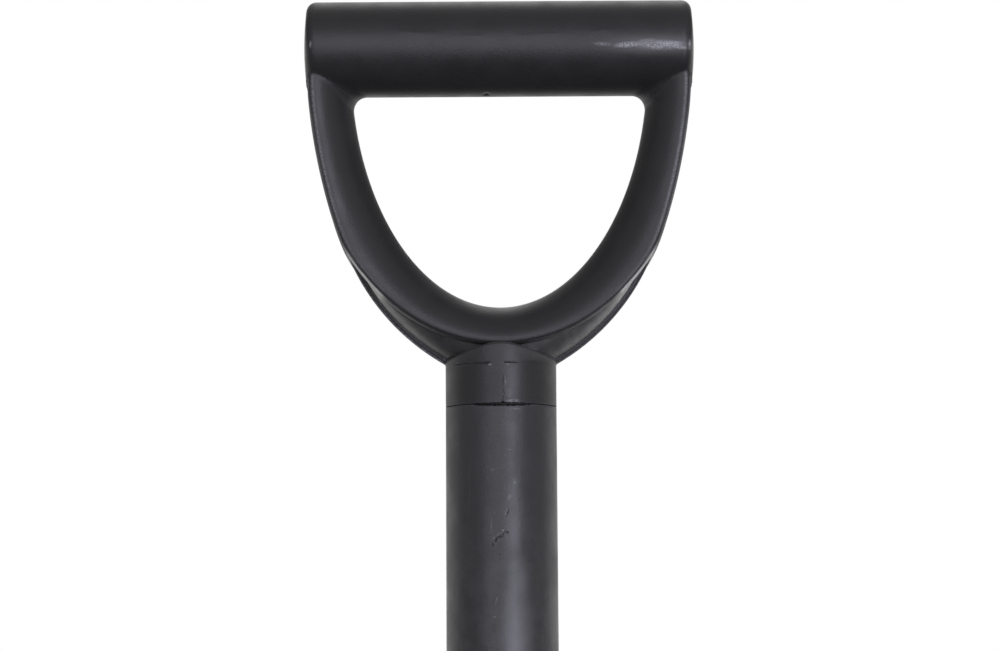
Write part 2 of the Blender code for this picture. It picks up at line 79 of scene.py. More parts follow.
class Side(Enum):
    """A side of the spade, by the sign of its X."""

    LEFT = -1
    RIGHT = 1


class Face(Enum):
    """A face of the blade, by the sign of its Y."""

    FRONT = -1
    BACK = 1


class Rim(Enum):
    """An end of a round piece, by the way from its rim into the piece."""

    LOWER = 1
    UPPER = -1


class Combining(Enum):
    """What one solid does to another."""

    JOIN = "UNION"
    CUT = "DIFFERENCE"


class MarkKind(Enum):
    """What handling has done to a small patch of a surface, or what light or shade is painted on it."""

    RUB_AND_HIGHLIGHT = "rub_and_highlight"
    PAINTED_HIGHLIGHT = "painted_highlight"
    PIT_AND_SHADE = "pit_and_shade"


# Working in Blender


def deselect() -> None:
    """Leaves edit mode with nothing selected, because an operator acts on all that is."""
    if bpy.context.mode != "OBJECT":
        bpy.ops.object.mode_set(mode="OBJECT")
    bpy.ops.object.select_all(action="DESELECT")


def edit_mode() -> None:
    """Opens the active piece's mesh."""
    bpy.ops.object.mode_set(mode="EDIT")


def object_mode() -> None:
    """Closes it again."""
    bpy.ops.object.mode_set(mode="OBJECT")


def activate(piece: Piece) -> None:
    """Makes a piece the only one selected."""
    deselect()
    piece.select_set(True)
    bpy.context.view_layer.objects.active = piece


def rename(piece: Piece, name: str) -> None:
    """Names a piece and its mesh."""
    piece.name = name
    piece.data.name = name


def smooth(piece: Piece) -> None:
    """Shades a piece smooth, but for its sharp edges."""
    activate(piece)
    bpy.ops.object.shade_smooth_by_angle(angle=SMOOTH_ANGLE)


def named(name: str) -> Piece:
    """Names the primitive that was just added.

    Args:
        name: The piece's name.

    Returns:
        The new piece, with its place in its mesh.
    """
    piece = bpy.context.object
    rename(piece, name)
    bpy.ops.object.transform_apply(location=True, rotation=True, scale=True)
    return piece


def select_faces(piece: Piece, wanted: Callable[[Vector, Vector], bool]) -> None:
    """Selects faces in edit mode, and nothing else.

    Args:
        piece: The piece in edit mode.
        wanted: Says from a face's middle and normal if it is selected.
    """
    bpy.ops.mesh.select_mode(type="FACE")
    mesh = bmesh.from_edit_mesh(piece.data)
    for face in mesh.faces:
        face.select_set(wanted(face.calc_center_median(), face.normal))
    mesh.select_flush_mode()
    bmesh.update_edit_mesh(piece.data)


def slice_across(axis: int, places: list[float]) -> None:
    """Cuts rows of edges across the piece in edit mode, so that it can be shaped between them.

    Args:
        axis: 0, 1 or 2, the axis that the cuts stand square to.
        places: Where on that axis each cut is.
    """
    normal = [0.0, 0.0, 0.0]
    normal[axis] = 1.0
    for place in places:
        bpy.ops.mesh.select_all(action="SELECT")
        bpy.ops.mesh.bisect(plane_co=[part * place for part in normal], plane_no=normal)


def extrude(rise: float) -> None:
    """Extrudes what is selected along Z."""
    bpy.ops.mesh.extrude_region_move(TRANSFORM_OT_translate={"value": (0, 0, rise)})


def shares(count: int) -> list[float]:
    """Even shares from 0 to 1, with both ends, in so many steps."""
    return [i / count for i in range(count + 1)]


def steps_between(start: float, stop: float, step: float) -> list[float]:
    """Evenly spaced places with both ends, at most a step apart."""
    count = max(1, math.ceil(abs(stop - start) / step))
    return [start + (stop - start) * share for share in shares(count)]


def apply_modifier(piece: Piece, kind: str, **settings: object) -> None:
    """Adds a modifier and applies it.

    Args:
        piece: The piece to change.
        kind: Blender's name for the modifier.
        **settings: The modifier's settings.
    """
    activate(piece)
    modifier = piece.modifiers.new(kind.title(), kind)
    for setting, value in settings.items():
        setattr(modifier, setting, value)
    bpy.ops.object.modifier_apply(modifier=modifier.name)


def round_edges(piece: Piece, width: float, segments: int) -> None:
    """Bevels all sharp edges of a piece, with so many strips to each."""
    limits = {"limit_method": "ANGLE", "angle_limit": BEVEL_ANGLE}
    apply_modifier(piece, "BEVEL", width=width, segments=segments, **limits)


def combine(piece: Piece, other: Piece, combining: Combining) -> None:
    """Joins another solid to a piece, or cuts it out of it, and removes the other."""
    apply_modifier(piece, "BOOLEAN", operation=combining.value, solver="EXACT", object=other)
    bpy.data.objects.remove(other)


def tidy_mesh(piece: Piece) -> None:
    """Merges doubles, and turns the faces outwards.

    Args:
        piece: A closed piece.
    """
    activate(piece)
    edit_mode()
    bpy.ops.mesh.select_all(action="SELECT")
    bpy.ops.mesh.remove_doubles(threshold=WELD_DISTANCE)
    bpy.ops.mesh.normals_make_consistent(inside=False)
    object_mode()


def lathe(name: str, profile: Profile, facets: int, ring: bool = False) -> Piece:
    """Shapes a round piece about Z by extruding and scaling one circle.

    Args:
        name: The piece's name.
        profile: (radius, height) points, which run down its outer side.
        facets: How many sides it has.
        ring: The profile closes on itself, and the ends aren't filled.

    Returns:
        The closed piece.
    """
    deselect()
    radius, height = profile[0]
    bpy.ops.mesh.primitive_circle_add(vertices=facets, radius=radius, location=(0, 0, height))
    piece = named(name)
    edit_mode()
    bpy.ops.mesh.select_mode(type="EDGE")
    bpy.ops.mesh.select_all(action="SELECT")
    for wider, lower in profile[1:] + (profile[:1] if ring else []):
        extrude(lower - height)
        share = wider / radius
        bpy.ops.transform.resize(value=(share, share, 1), center_override=(0, 0, lower))
        radius, height = wider, lower
    bpy.ops.mesh.select_all(action="SELECT")
    bpy.ops.mesh.remove_doubles(threshold=WELD_DISTANCE)
    if not ring:
        bpy.ops.mesh.fill_holes(sides=0)
    object_mode()
    tidy_mesh(piece)
    return piece


def arc(centre: Range, radius: float, start: float, stop: float, steps: int) -> Profile:
    """Points along a circular arc with both ends, from angles in degrees and a count of chords."""
    angles = [math.radians(start + (stop - start) * share) for share in shares(steps)]
    return [(centre[0] + radius * math.cos(a), centre[1] + radius * math.sin(a)) for a in angles]


def vertices_of(piece: Piece) -> np.ndarray:
    """A piece's vertices, one row each."""
    places = np.zeros(len(piece.data.vertices) * 3)
    piece.data.vertices.foreach_get("co", places)
    return places.reshape(-1, 3)


def place_vertices(piece: Piece, places: np.ndarray) -> None:
    """Moves a piece's vertices to places, a row for each."""
    piece.data.vertices.foreach_set("co", places.ravel())
    piece.data.update()


def rolled(name: str, around: int, along: int, place: Callable[[float, float], Point]) -> Piece:
    """Rolls a grid up into a closed tube, with its vertices placed by formula.

    Args:
        name: The piece's name.
        around: How many sides it has.
        along: How many rows it has.
        place: Gives a point from its shares round and along the tube.

    Returns:
        The tube.
    """
    deselect()
    bpy.ops.mesh.primitive_grid_add(x_subdivisions=around, y_subdivisions=along)
    tube = named(name)
    place_vertices(tube, np.array([place((x + 1) / 2, (1 - y) / 2) for x, y, _ in vertices_of(tube)]))
    tidy_mesh(tube)
    edit_mode()
    bpy.ops.mesh.select_all(action="SELECT")
    bpy.ops.mesh.fill_holes(sides=0)
    object_mode()
    tidy_mesh(tube)
    return tube


def ease(value: np.ndarray, start: float, stop: float) -> np.ndarray:
    """Smooth steps from 0 at the start to 1 at the stop."""
    share = np.clip((value - start) / (stop - start), 0, 1)
    return share * share * (3 - 2 * share)


def chip_rim(places: np.ndarray, height: float, rim: Rim, radius: float, depth: float) -> None:
    """Breaks the front of a round rim, where knocks have opened the joint under the neck.

    Args:
        places: The piece's vertices, which are moved.
        height: The rim's height.
        rim: Which end of the piece it is at.
        radius: The rim's radius.
        depth: How deep the breaks are.
    """
    reach = 0.0025  # of the breaks, along the piece
    wall = 0.0006  # how far from the rim's radius its wall may lie
    stops = [-15, -11, -8, -2, 4, 8, 10.5, 15]  # millimetres across the front
    most_broken = [0, 0.2, 0.7, 1, 1, 0.8, 0.2, 0]
    back = 19  # the back is as whole as the sides
    coarse, coarse_pitch = 1.3, 1.1  # the breaks' unevenness, and its bumps to a millimetre
    fine, fine_pitch, fine_seed = 1.0, 3.3, 5
    notch_depth, notch_place, notch_width = 2.6, 0.6, 0.42  # over the crack in the neck
    closed = -0.65  # away from the breaks the sleeve almost meets the neck
    on_neck = rim is Rim.LOWER
    x, y, z = places.T
    above_rim = (z - height) * rim.value
    near = (np.abs(np.hypot(x, y) - radius) < wall) & (above_rim > -WELD_DISTANCE) & (above_rim < reach)
    for index in np.nonzero(near)[0]:
        across = x[index] / MILLIMETRE if y[index] < 0 else back
        broken = np.interp(across, stops, most_broken)
        ragged = 1 + coarse * noise.noise((across * coarse_pitch, 0, rim.value))
        ragged += fine * noise.noise((across * fine_pitch, fine_seed, rim.value))
        notch = notch_depth * math.exp(-(((across - notch_place) / notch_width) ** 2)) if on_neck else 0
        fade_out = 1 - max(above_rim[index], 0) / reach
        opened = broken * max(ragged, 0) + (0 if on_neck else closed * (1 - broken)) + notch
        places[index, 2] += rim.value * depth * opened * fade_out


def write_attribute(piece: Piece, name: str, values: np.ndarray) -> None:
    """Gives each vertex a number that the piece's material reads."""
    layer = piece.data.attributes.new(name, "FLOAT", "POINT")
    layer.data.foreach_set("value", values.astype(np.float32))


def edge_share(piece: Piece, blunt: float, sharp: float) -> np.ndarray:
    """How much of an outer edge each vertex is on, for the wear that edges get.

    Args:
        piece: The piece.
        blunt: The widest radius that counts as an edge.
        sharp: The radius that is fully an edge.

    Returns:
        A number from 0 to 1 for each vertex.
    """
    passes = 2  # of averaging each vertex with its neighbours
    mesh = piece.data
    count = len(mesh.vertices)
    places = vertices_of(piece)
    normals = np.zeros(count * 3)
    mesh.vertices.foreach_get("normal", normals)
    normals = normals.reshape(-1, 3)
    ends = np.zeros(len(mesh.edges) * 2, dtype=np.int32)
    mesh.edges.foreach_get("vertices", ends)
    first, second = ends.reshape(-1, 2).T
    offset = places[second] - places[first]
    square = np.maximum((offset**2).sum(axis=1), WELD_DISTANCE**2)
    bend = np.bincount(first, -2 * (offset * normals[first]).sum(axis=1) / square, count)
    bend += np.bincount(second, 2 * (offset * normals[second]).sum(axis=1) / square, count)
    neighbours = np.maximum(np.bincount(first, minlength=count) + np.bincount(second, minlength=count), 1)
    share = ease(bend / neighbours, 1 / blunt, 1 / sharp)
    for _ in range(passes):
        around = np.bincount(first, share[second], count) + np.bincount(second, share[first], count)
        share = (share + around / neighbours) / 2
    return share


def skin_of(piece: Piece) -> BVHTree:
    """A piece's surface, for finding the nearest place on it."""
    return BVHTree.FromObject(piece, bpy.context.evaluated_depsgraph_get())


def above(skin: BVHTree, place: Vector) -> tuple[float, Vector]:
    """How far a point lies outside a surface.

    Args:
        skin: The surface.
        place: The point.

    Returns:
        The distance, which is negative inside, and the surface's normal there.
    """
    nearest, normal, _, distance = skin.find_nearest(place)
    offset = place - nearest
    if distance < WELD_DISTANCE:
        return 0.0, normal
    if offset.dot(normal) < 0:
        return -distance, -offset.normalized()
    return distance, offset.normalized()


def fillet(
    piece: Piece, first: BVHTree, second: BVHTree, radius_at: Callable[[Vector], float]
) -> None:
    """Fills the corner where two joined forms meet, as a ball rolled along it would leave it.

    Each vertex near both forms is moved to the ball's surface. The ball's centre is found from the
    distances to the two forms and their normals, a few times over.

    Args:
        piece: The joined piece.
        first: The surface of the one form.
        second: The surface of the other form.
        radius_at: The fillet's radius at a place.
    """
    rounds = 4
    most_alike = 0.97  # of two normals: forms that run on into each other have no corner
    least_alike = -0.4  # forms that face each other leave a slot, which stays open
    longest_move = 0.45  # of the radius, in one round
    for vertex in piece.data.vertices:
        for _ in range(rounds):
            radius = radius_at(vertex.co)
            far, normal = above(first, vertex.co)
            if far >= radius:
                break
            other_far, other_normal = above(second, vertex.co)
            if other_far >= radius:
                break
            alike = normal.dot(other_normal)
            if not least_alike < alike < most_alike:
                break
            needed, other_needed = radius - far, radius - other_far
            along = (needed - other_needed * alike) / (1 - alike**2)
            other_along = (other_needed - needed * alike) / (1 - alike**2)
            if along <= 0 or other_along <= 0:
                break
            to_centre = along * normal + other_along * other_normal
            move = to_centre.length - radius
            vertex.co += to_centre.normalized() * min(max(move, 0), longest_move * radius)
    piece.data.update()


# The handle


@dataclass
class HandGrip:
    """The round bar of the D handle."""

    diameter: float = 0.033
    width: float = 0.1344
    end_crown: float = 0.0008
    end_round: float = 0.0035
    end_segments: int = 10
    end_rings: int = 6
    facets: int = 144
    end_spacing: float = 0.0007
    middle_spacing: float = 0.003
    arm_start: float = 0.040  # from here outwards the loop joins the bar
    gate: Range = (-0.0044, -0.0030)  # where the melt came in, under the bar
    gate_radius: float = 0.0014
    gate_floor: float = 0.6  # share of its radius that is flat
    gate_stretch: float = 0.8  # below 1 it is longer round the bar than along it
    gate_depth: float = 0.0004
    gate_zone: float = 0.008  # the bar's middle, which is sliced finely for the dent
    gate_spacing: float = 0.0004

    @property
    def radius(self) -> float:
        """The bar's radius."""
        return self.diameter / 2

    def build(self) -> Piece:
        """Bevels a cylinder's rims, crowns its ends, and slices it where the loop joins.

        Returns:
            The bar.
        """
        deselect()
        edge = self.width / 2 - self.end_crown
        bpy.ops.mesh.primitive_cylinder_add(
            vertices=self.facets, radius=self.radius, depth=2 * edge, rotation=(0, QUARTER_TURN, 0)
        )
        bar = named("hand_grip_form")
        edit_mode()
        select_faces(bar, lambda middle, normal: abs(normal.x) > SQUARE)
        bpy.ops.mesh.region_to_loop()
        bpy.ops.mesh.bevel(offset=self.end_round, segments=self.end_segments)
        rim = self.radius - self.end_round
        select_faces(bar, lambda middle, normal: abs(normal.x) > SQUARE)
        for _ in range(self.end_rings):
            bpy.ops.mesh.inset(thickness=rim / (self.end_rings + 1))
        straight = edge - self.end_round
        cuts = steps_between(self.arm_start, straight, self.end_spacing)[:-1]
        cuts += steps_between(self.gate_zone, self.arm_start, self.middle_spacing)[:-1]
        cuts += steps_between(0, self.gate_zone, self.gate_spacing)[1:-1]
        slice_across(0, [0, *cuts, *[-cut for cut in cuts]])
        object_mode()
        places = vertices_of(bar)
        share = np.hypot(places[:, 1], places[:, 2]) / rim
        crown = np.where((np.abs(places[:, 0]) > edge - WELD_DISTANCE) & (share < 1), 1 - share**2, 0)
        places[:, 0] += np.sign(places[:, 0]) * self.end_crown * crown
        around_bar = (places[:, 1] - self.gate[1]) * self.gate_stretch
        from_gate = np.hypot(places[:, 0] - self.gate[0], around_bar)
        scar = ease(-from_gate, -self.gate_radius, -self.gate_floor * self.gate_radius)
        places[:, 2] += np.where(places[:, 2] < 0, scar * self.gate_depth, 0)
        place_vertices(bar, places)
        return bar


@dataclass
class HandLoop:
    """The U under the grip: two lips, a channel with a fin between them, and a belly above the neck."""

    grip: HandGrip
    neck_radius: float
    roof_eaves: float
    opening_width: float = 0.1022
    opening_drop: float = 0.0897
    opening_centre_drop: float = 0.0055
    lip_width: float = 0.1328
    lip_side_radius: float = 0.205
    lip_bowl_width: float = 0.1334
    lip_drop: float = 0.1038
    lip_centre_drop: float = 0.0215
    lip_blend: float = 0.0014
    lip_setback: float = 0.0034
    lip_land: float = 0.0004  # the narrow flat along each lip
    lip_round: float = 0.0018
    floor_rounds: float = 1.8  # the channel's floor is this many rounds behind the lips' faces
    nose_power: float = 1.62  # 2 is an ellipse, and less is a wedge
    channel_depth: float = 0.005
    lip_undercut: float = 0.0008
    belly_power: float = 1.8
    fin_root: float = 0.0029
    fin_thickness: float = 0.0022  # behind the bead
    fin_height: float = 0.0019
    fin_least_height: float = 0.0008
    bead_round: float = 0.00035  # of the bead along the fin's edge
    flare_radius: float = 0.0772
    flare_slope: float = math.radians(29.5)
    joint_drop: float = 0.025  # down to here the rings are close, for the fillet under the grip
    joint_spacing: float = 0.0006
    inner_drops: tuple[float, ...] = (-0.006, -0.002, 0.002)  # of the rings inside the grip
    first_drop: float = 0.0045
    rings_below: int = 84
    nose_steps: int = 26
    lip_steps: int = 10
    wall_steps: int = 3
    belly_steps: int = 14
    bead_steps: int = 8
    # A pale colour painted on the loop's belly and in its channel, strongest against the fin: a painted
    # reflection of the white sweep.
    sheen_out: tuple[float, ...] = (0.020, 0.030, 0.037, 0.041, 0.046)  # places out from the middle
    sheen_left: tuple[float, ...] = (0.12, 0.34, 0.64, 1.3, 1.6)  # how strong the painted reflection is there on the left
    sheen_right: tuple[float, ...] = (0.32, 0.56, 0.90, 1.3, 1.6)
    sheen_start: Range = (0.018, 0.030)  # drops over which it begins, under the grip
    sheen_low: Range = (0.066, 0.073)  # drops over which it strengthens, where the channel turns level
    sheen_thin: float = 0.4  # of it above that
    sheen_filled: Range = (0.037, 0.043)  # places over which it begins to fill the channel's width
    sheen_open: float = 0.24  # of it far from the fin
    sheen_heap: float = 1.3  # the power by which it fades from the fin

    @property
    def floor_depth(self) -> float:
        """How far the channel's floor and the belly's root reach forward."""
        return self.lip_depth - self.floor_rounds * self.lip_round

    @property
    def lip_depth(self) -> float:
        """How far forward the lips' faces lie."""
        return self.grip.radius - self.lip_setback

    @property
    def half_height(self) -> float:
        """Half the height of the opening's ellipse."""
        return self.opening_drop - self.opening_centre_drop

    @staticmethod
    def reach(start: Vector, heading: Vector, centre: Vector, half_width: float, half_height: float) -> float:
        """Distance from a point to an ellipse round it, in XZ.

        Args:
            start: The point.
            heading: The direction to measure along.
            centre: The ellipse's centre.
            half_width: Half its width.
            half_height: Half its height.

        Returns:
            The distance.
        """
        scale = Vector((1 / half_width, 1 / half_height))
        offset = (start - centre) * scale
        step = heading * scale
        along = step.dot(offset)
        root = along**2 - step.dot(step) * (offset.dot(offset) - 1)
        return (math.sqrt(max(root, 0)) - along) / step.dot(step)

    def lip_reach(self, start: Vector, heading: Vector) -> float:
        """Distance to the lips' edge, which is an ellipse with a flatter arc up each side.

        Args:
            start: A point of the opening's edge.
            heading: The direction outwards.

        Returns:
            The distance.
        """
        half_drop = self.lip_drop - self.lip_centre_drop
        bowl_centre = Vector((0, -self.lip_centre_drop))
        bowl = self.reach(start, heading, bowl_centre, self.lip_bowl_width / 2, half_drop)
        side_centre = Vector((self.lip_width / 2 - self.lip_side_radius, 0))
        side = self.reach(start, heading, side_centre, self.lip_side_radius, self.lip_side_radius)
        overlap = max(self.lip_blend - abs(bowl - side), 0) / self.lip_blend
        return min(bowl, side) - overlap**2 * self.lip_blend / 4

    def flare_reach(self, start: Vector, heading: Vector) -> float:
        """Distance to the arc that the fin follows into the neck.

        Args:
            start: A point of the opening's edge.
            heading: The direction outwards.

        Returns:
            The distance.
        """
        to_centre = Vector((-math.sin(self.flare_slope), math.cos(self.flare_slope)))
        centre = Vector((self.neck_radius, self.roof_eaves)) + self.flare_radius * to_centre
        return self.reach(start, heading, centre, self.flare_radius, self.flare_radius)

    def beyond_lips(self, places: np.ndarray) -> np.ndarray:
        """How far places lie outside the lips' edge.

        Args:
            places: The handle's vertices.

        Returns:
            A distance for each vertex, below 0 inside the lips.
        """
        x, z = np.abs(places[:, 0]), places[:, 2]
        half_drop = self.lip_drop - self.lip_centre_drop
        bowl = np.hypot(x / (self.lip_bowl_width / 2), (z + self.lip_centre_drop) / half_drop)
        bowl = (bowl - 1) * half_drop
        side = np.hypot(x - self.lip_width / 2 + self.lip_side_radius, z) - self.lip_side_radius
        return np.maximum(bowl, side)

    def lip_highlight_lines(self, places: np.ndarray, points: int) -> np.ndarray:
        """Where highlight lines are painted on the lips: along their crest and, less, along the outer side of
        their round.

        Args:
            places: The grid's vertices.
            points: How many there are in each section.

        Returns:
            A number from 0 to 1 for each vertex.
        """
        from_crest = np.arange(points) - (self.nose_steps + 1)  # counted in the section's points
        share = np.interp(from_crest, [-2, -1, 0, 1, 2, 3, 4], [0, 0.4, 1, 0.2, 0, 1, 0])
        bowl, arms = (-0.075, 0.3), (-0.055, 1.0)  # heights, and how strong the painted lines are there
        along = np.interp(places[:, 2], [bowl[0], arms[0]], [bowl[1], arms[1]])
        return np.tile(share, len(places) // points) * along

    def bead_highlight_share(self, places: np.ndarray) -> np.ndarray:
        """Where a highlight is painted on the bead along the fin's edge.

        Args:
            places: The handle's vertices.

        Returns:
            A number from 0 to 1 for each vertex.
        """
        inner, outer = 0.3, 1.05  # shares of its round, out from the fin's side
        top = -0.03  # above this it has no painted highlight
        y, z = np.abs(places[:, 1]), places[:, 2]
        out = (y - self.fin_thickness / 2) / self.bead_round
        on_fin = (self.beyond_lips(places) > 0) & (z > self.roof_eaves) & (z < top)
        return ((out > inner) & (out < outer) & on_fin).astype(float)

    def painted_sheen_share(self, places: np.ndarray) -> np.ndarray:
        """Where the reflection is painted: in the channel and on the belly, and most of it against the fin.

        Args:
            places: The handle's vertices.

        Returns:
            A number from 0 to 1 for each vertex.
        """
        edge_fade = 0.001  # of the painted reflection's edges, deep in the channel and on the roof
        wall_fade = 0.0006  # at the channel's walls
        lip_clear, lip_full = 0.0002, 0.0004  # before and after the lips' undercut
        fin_clear, fin_full = 0.0001, 0.0005  # off the fin's root
        ridge_clear, ridge_full = 0.003, 0.012  # out from the neck's ridge, which has none
        x, y, z = np.abs(places[:, 0]), np.abs(places[:, 1]), places[:, 2]
        beyond = self.beyond_lips(places)
        channel = ease(beyond, -self.channel_depth - edge_fade, -self.channel_depth)
        channel *= ease(-y, -self.floor_depth, -self.floor_depth + wall_fade)
        open_belly = ease(beyond, -self.lip_undercut - lip_clear, -self.lip_undercut + lip_full)
        inside = np.maximum(channel, open_belly)
        root = self.fin_root / 2
        off_fin = ease(y, root + fin_clear, root + fin_full)
        on_roof = ease(z, self.roof_eaves, self.roof_eaves + edge_fade) * ease(x, ridge_clear, ridge_full)
        against_fin = 1 - np.clip((y - root) / (self.floor_depth - root), 0, 1)
        left = np.interp(x, self.sheen_out, self.sheen_left)
        right = np.interp(x, self.sheen_out, self.sheen_right)
        low = ease(-z, *self.sheen_low)
        along = np.where(places[:, 0] < 0, left, right) * ease(-z, *self.sheen_start)
        along *= self.sheen_thin + (1 - self.sheen_thin) * low
        heaped = self.sheen_open + (1 - self.sheen_open) * against_fin**self.sheen_heap
        deep = np.maximum(heaped, ease(x, *self.sheen_filled) * low)
        return inside * off_fin * on_roof * along * deep

    def section(self, width: float, crown: float, tip: float) -> Profile:
        """Front half of the loop's section, from the hand side to the fin's edge.

        Args:
            width: The lip's distance from the hand side.
            crown: The channel floor's or the belly's distance.
            tip: The fin's distance.

        Returns:
            (outward, forward) points, always as many.
        """
        apex = width - self.lip_round
        turns = [QUARTER_TURN * share for share in shares(self.nose_steps)]
        power = 2 / self.nose_power
        nose = apex - self.lip_land
        points = [(nose * (1 - math.cos(t) ** power), self.lip_depth * math.sin(t) ** power) for t in turns]
        points.append((apex, self.lip_depth))
        floor_start = min(crown, width - self.lip_undercut)
        edge_turn = -math.degrees(math.acos(max(floor_start - apex, 0) / self.lip_round))
        edge_centre = (apex, self.lip_depth - self.lip_round)
        points += arc(edge_centre, self.lip_round, 90, edge_turn, self.lip_steps)[1:]
        corner, floor_depth = points[-1]
        for share in shares(self.wall_steps)[1:]:
            points.append((corner + (floor_start - corner) * share, floor_depth))
        half_root, half_fin = self.fin_root / 2, self.fin_thickness / 2
        power = 2 / self.belly_power
        for share in shares(self.belly_steps)[1:]:
            angle = QUARTER_TURN * share
            forward = half_root + (floor_depth - half_root) * max(math.cos(angle), 0) ** power
            points.append((floor_start + (crown - floor_start) * math.sin(angle) ** power, forward))
        most_bead = 0.45  # of the fin's height, where the fin is low
        bead_round = min(self.bead_round, most_bead * (tip - crown))
        points += arc((tip - bead_round, half_fin), bead_round, 180, 0, self.bead_steps)
        points.append((tip, 0))
        return points

    def ring(self, angle: float) -> list[Point]:
        """The section's points in space, at one angle of the opening's ellipse.

        Args:
            angle: The angle below the ellipse's long axis.

        Returns:
            The points.
        """
        half_width = self.opening_width / 2
        drop = self.opening_centre_drop + self.half_height * math.sin(angle)
        crest = Vector((half_width * math.cos(angle), -drop))
        heading = Vector((math.cos(angle) / half_width, -math.sin(angle) / self.half_height)).normalized()
        entry = math.sqrt(self.grip.radius**2 - self.lip_depth**2)
        drawn_in = self.grip.end_round * min(max((entry + crest.y) / (2 * entry), 0), 1)
        width = self.lip_reach(crest, heading) - drawn_in
        flare = self.flare_reach(crest, heading)
        crown = max(width - self.channel_depth, flare - self.fin_height)
        tip = max(flare, crown + self.fin_least_height)
        points = []
        for outward, forward in self.section(width, crown, tip):
            place = crest + outward * heading
            points.append((place.x, -forward, place.y))
        return points

    def stations(self) -> list[float]:
        """Angles on the opening's ellipse, from inside the grip down to the lowest point."""
        drops = [*self.inner_drops, *steps_between(self.first_drop, self.joint_drop, self.joint_spacing)]
        angles = [math.asin((drop - self.opening_centre_drop) / self.half_height) for drop in drops]
        last = angles[-1]
        return angles + [last + (QUARTER_TURN - last) * share for share in shares(self.rings_below)[1:]]

    def build(self) -> Piece:
        """Draws a grid over a quarter of the loop's skin, mirrors it twice and closes its two ends.

        A loft between changing sections has no operator, so the grid's vertices are placed by formula.

        Returns:
            The loop.
        """
        rings = [self.ring(angle) for angle in self.stations()]
        deselect()
        points = len(rings[0])
        bpy.ops.mesh.primitive_grid_add(x_subdivisions=points - 1, y_subdivisions=len(rings) - 1)
        loop = named("hand_loop_form")
        places = np.array(rings).reshape(-1, 3)
        places[-points:, 0] = 0
        place_vertices(loop, places)
        # painted highlight lines along the lips' crest and round
        write_attribute(loop, "lip", self.lip_highlight_lines(places, points))
        both = (True, True, False)
        apply_modifier(loop, "MIRROR", use_axis=both, use_clip=True, merge_threshold=WELD_DISTANCE)
        edit_mode()
        bpy.ops.mesh.select_all(action="SELECT")
        bpy.ops.mesh.fill_holes(sides=0)
        object_mode()
        tidy_mesh(loop)
        return loop


@dataclass
class Neck:
    """The round neck under its gabled roof, the pocket for the tube, and the spigot inside the tube."""

    end: float
    ridge: float
    bore_radius: float
    tube_radius: float
    radius: float = 0.019
    roof_slope: float = math.radians(18)
    roof_round: float = 0.0009
    rim_steps: int = 5
    roof_rings: tuple[float, ...] = (0.0165, 0.0145, 0.0120, 0.0090, 0.0060, 0.0030)
    ridge_radius: float = 0.0215  # of the round along the roof's top
    collar: float = 0.00028  # it closes the joint behind its broken rims
    collar_step: float = 0.0012
    pocket_depth: float = 0.0107
    spigot_length: float = 0.0675
    spigot_chamfer: float = 0.002
    facets: int = 264
    spacing: float = 0.0005
    seam: float = -0.1103  # height of the groove that the mould's two halves leave
    seam_depth: float = 0.0003
    seam_rows: tuple[float, ...] = (0.0003, 0.0001, -0.0001, -0.0003, -0.0006)  # about its height
    chip_depth: float = 0.00022  # of the broken rim

    def roof(self, across: np.ndarray) -> np.ndarray:
        """The roof's height: two slopes with a round between them.

        Args:
            across: Places across the neck.

        Returns:
            The height at each.
        """
        middle = self.ridge - self.ridge_radius
        turned = self.ridge_radius * math.sin(self.roof_slope)
        on_round = np.minimum(np.abs(across), turned)
        down = (np.abs(across) - on_round) * math.tan(self.roof_slope)
        return middle + np.sqrt(self.ridge_radius**2 - on_round**2) - down

    def build(self) -> Piece:
        """Raises the roof from rings on a cylinder's top, and draws out the pocket and the spigot.

        Returns:
            The neck.
        """
        deselect()
        bpy.ops.mesh.primitive_cylinder_add(
            vertices=self.facets,
            radius=self.radius,
            depth=self.ridge - self.end,
            location=(0, 0, (self.ridge + self.end) / 2),
        )
        neck = named("neck_form")
        edit_mode()
        eaves = float(self.roof(np.array([self.radius]))[0])
        slice_across(2, steps_between(self.end, eaves - self.roof_round, self.spacing)[1:])
        slice_across(2, [self.seam + offset for offset in self.seam_rows])
        select_faces(neck, lambda middle, normal: normal.z > FACING)
        angles = [QUARTER_TURN * share for share in shares(self.rim_steps)[1:]]
        rim_rings = [self.radius - self.roof_round * (1 - math.cos(angle)) for angle in angles]
        reached = self.radius
        for radius in [*rim_rings, *self.roof_rings]:
            bpy.ops.mesh.inset(thickness=reached - radius)
            reached = radius
        lowest = self.end + WELD_DISTANCE
        select_faces(neck, lambda middle, normal: normal.z < -FACING and middle.z < lowest)
        bpy.ops.mesh.inset(thickness=self.collar_step)
        extrude(-self.collar)
        bpy.ops.mesh.inset(thickness=self.radius - self.collar_step - self.tube_radius)
        bpy.ops.mesh.inset(thickness=self.tube_radius - self.bore_radius)
        straight = self.spigot_length - self.collar - self.spigot_chamfer
        extrude(-straight)
        extrude(-self.spigot_chamfer)
        share = 1 - self.spigot_chamfer / self.bore_radius
        bpy.ops.transform.resize(value=(share, share, 1))
        between = (self.bore_radius + self.tube_radius) / 2
        margin = (self.tube_radius - self.bore_radius) / 2
        select_faces(
            neck,
            lambda middle, normal: normal.z < -FACING
            and abs(middle.z - self.end + self.collar) < WELD_DISTANCE
            and abs(math.hypot(middle.x, middle.y) - between) < margin / 2,
        )
        depth = self.pocket_depth + self.collar
        extrude(depth)
        object_mode()
        places = vertices_of(neck)
        on_top = np.abs(places[:, 2] - self.ridge) < WELD_DISTANCE
        share = np.clip(1 - (self.radius - np.hypot(places[:, 0], places[:, 1])) / self.roof_round, 0, 1)
        drop = self.roof_round * (1 - np.sqrt(1 - share**2))
        places[on_top, 2] = (self.roof(places[:, 0]) - drop)[on_top]
        place_vertices(neck, places)
        tidy_mesh(neck)
        return neck


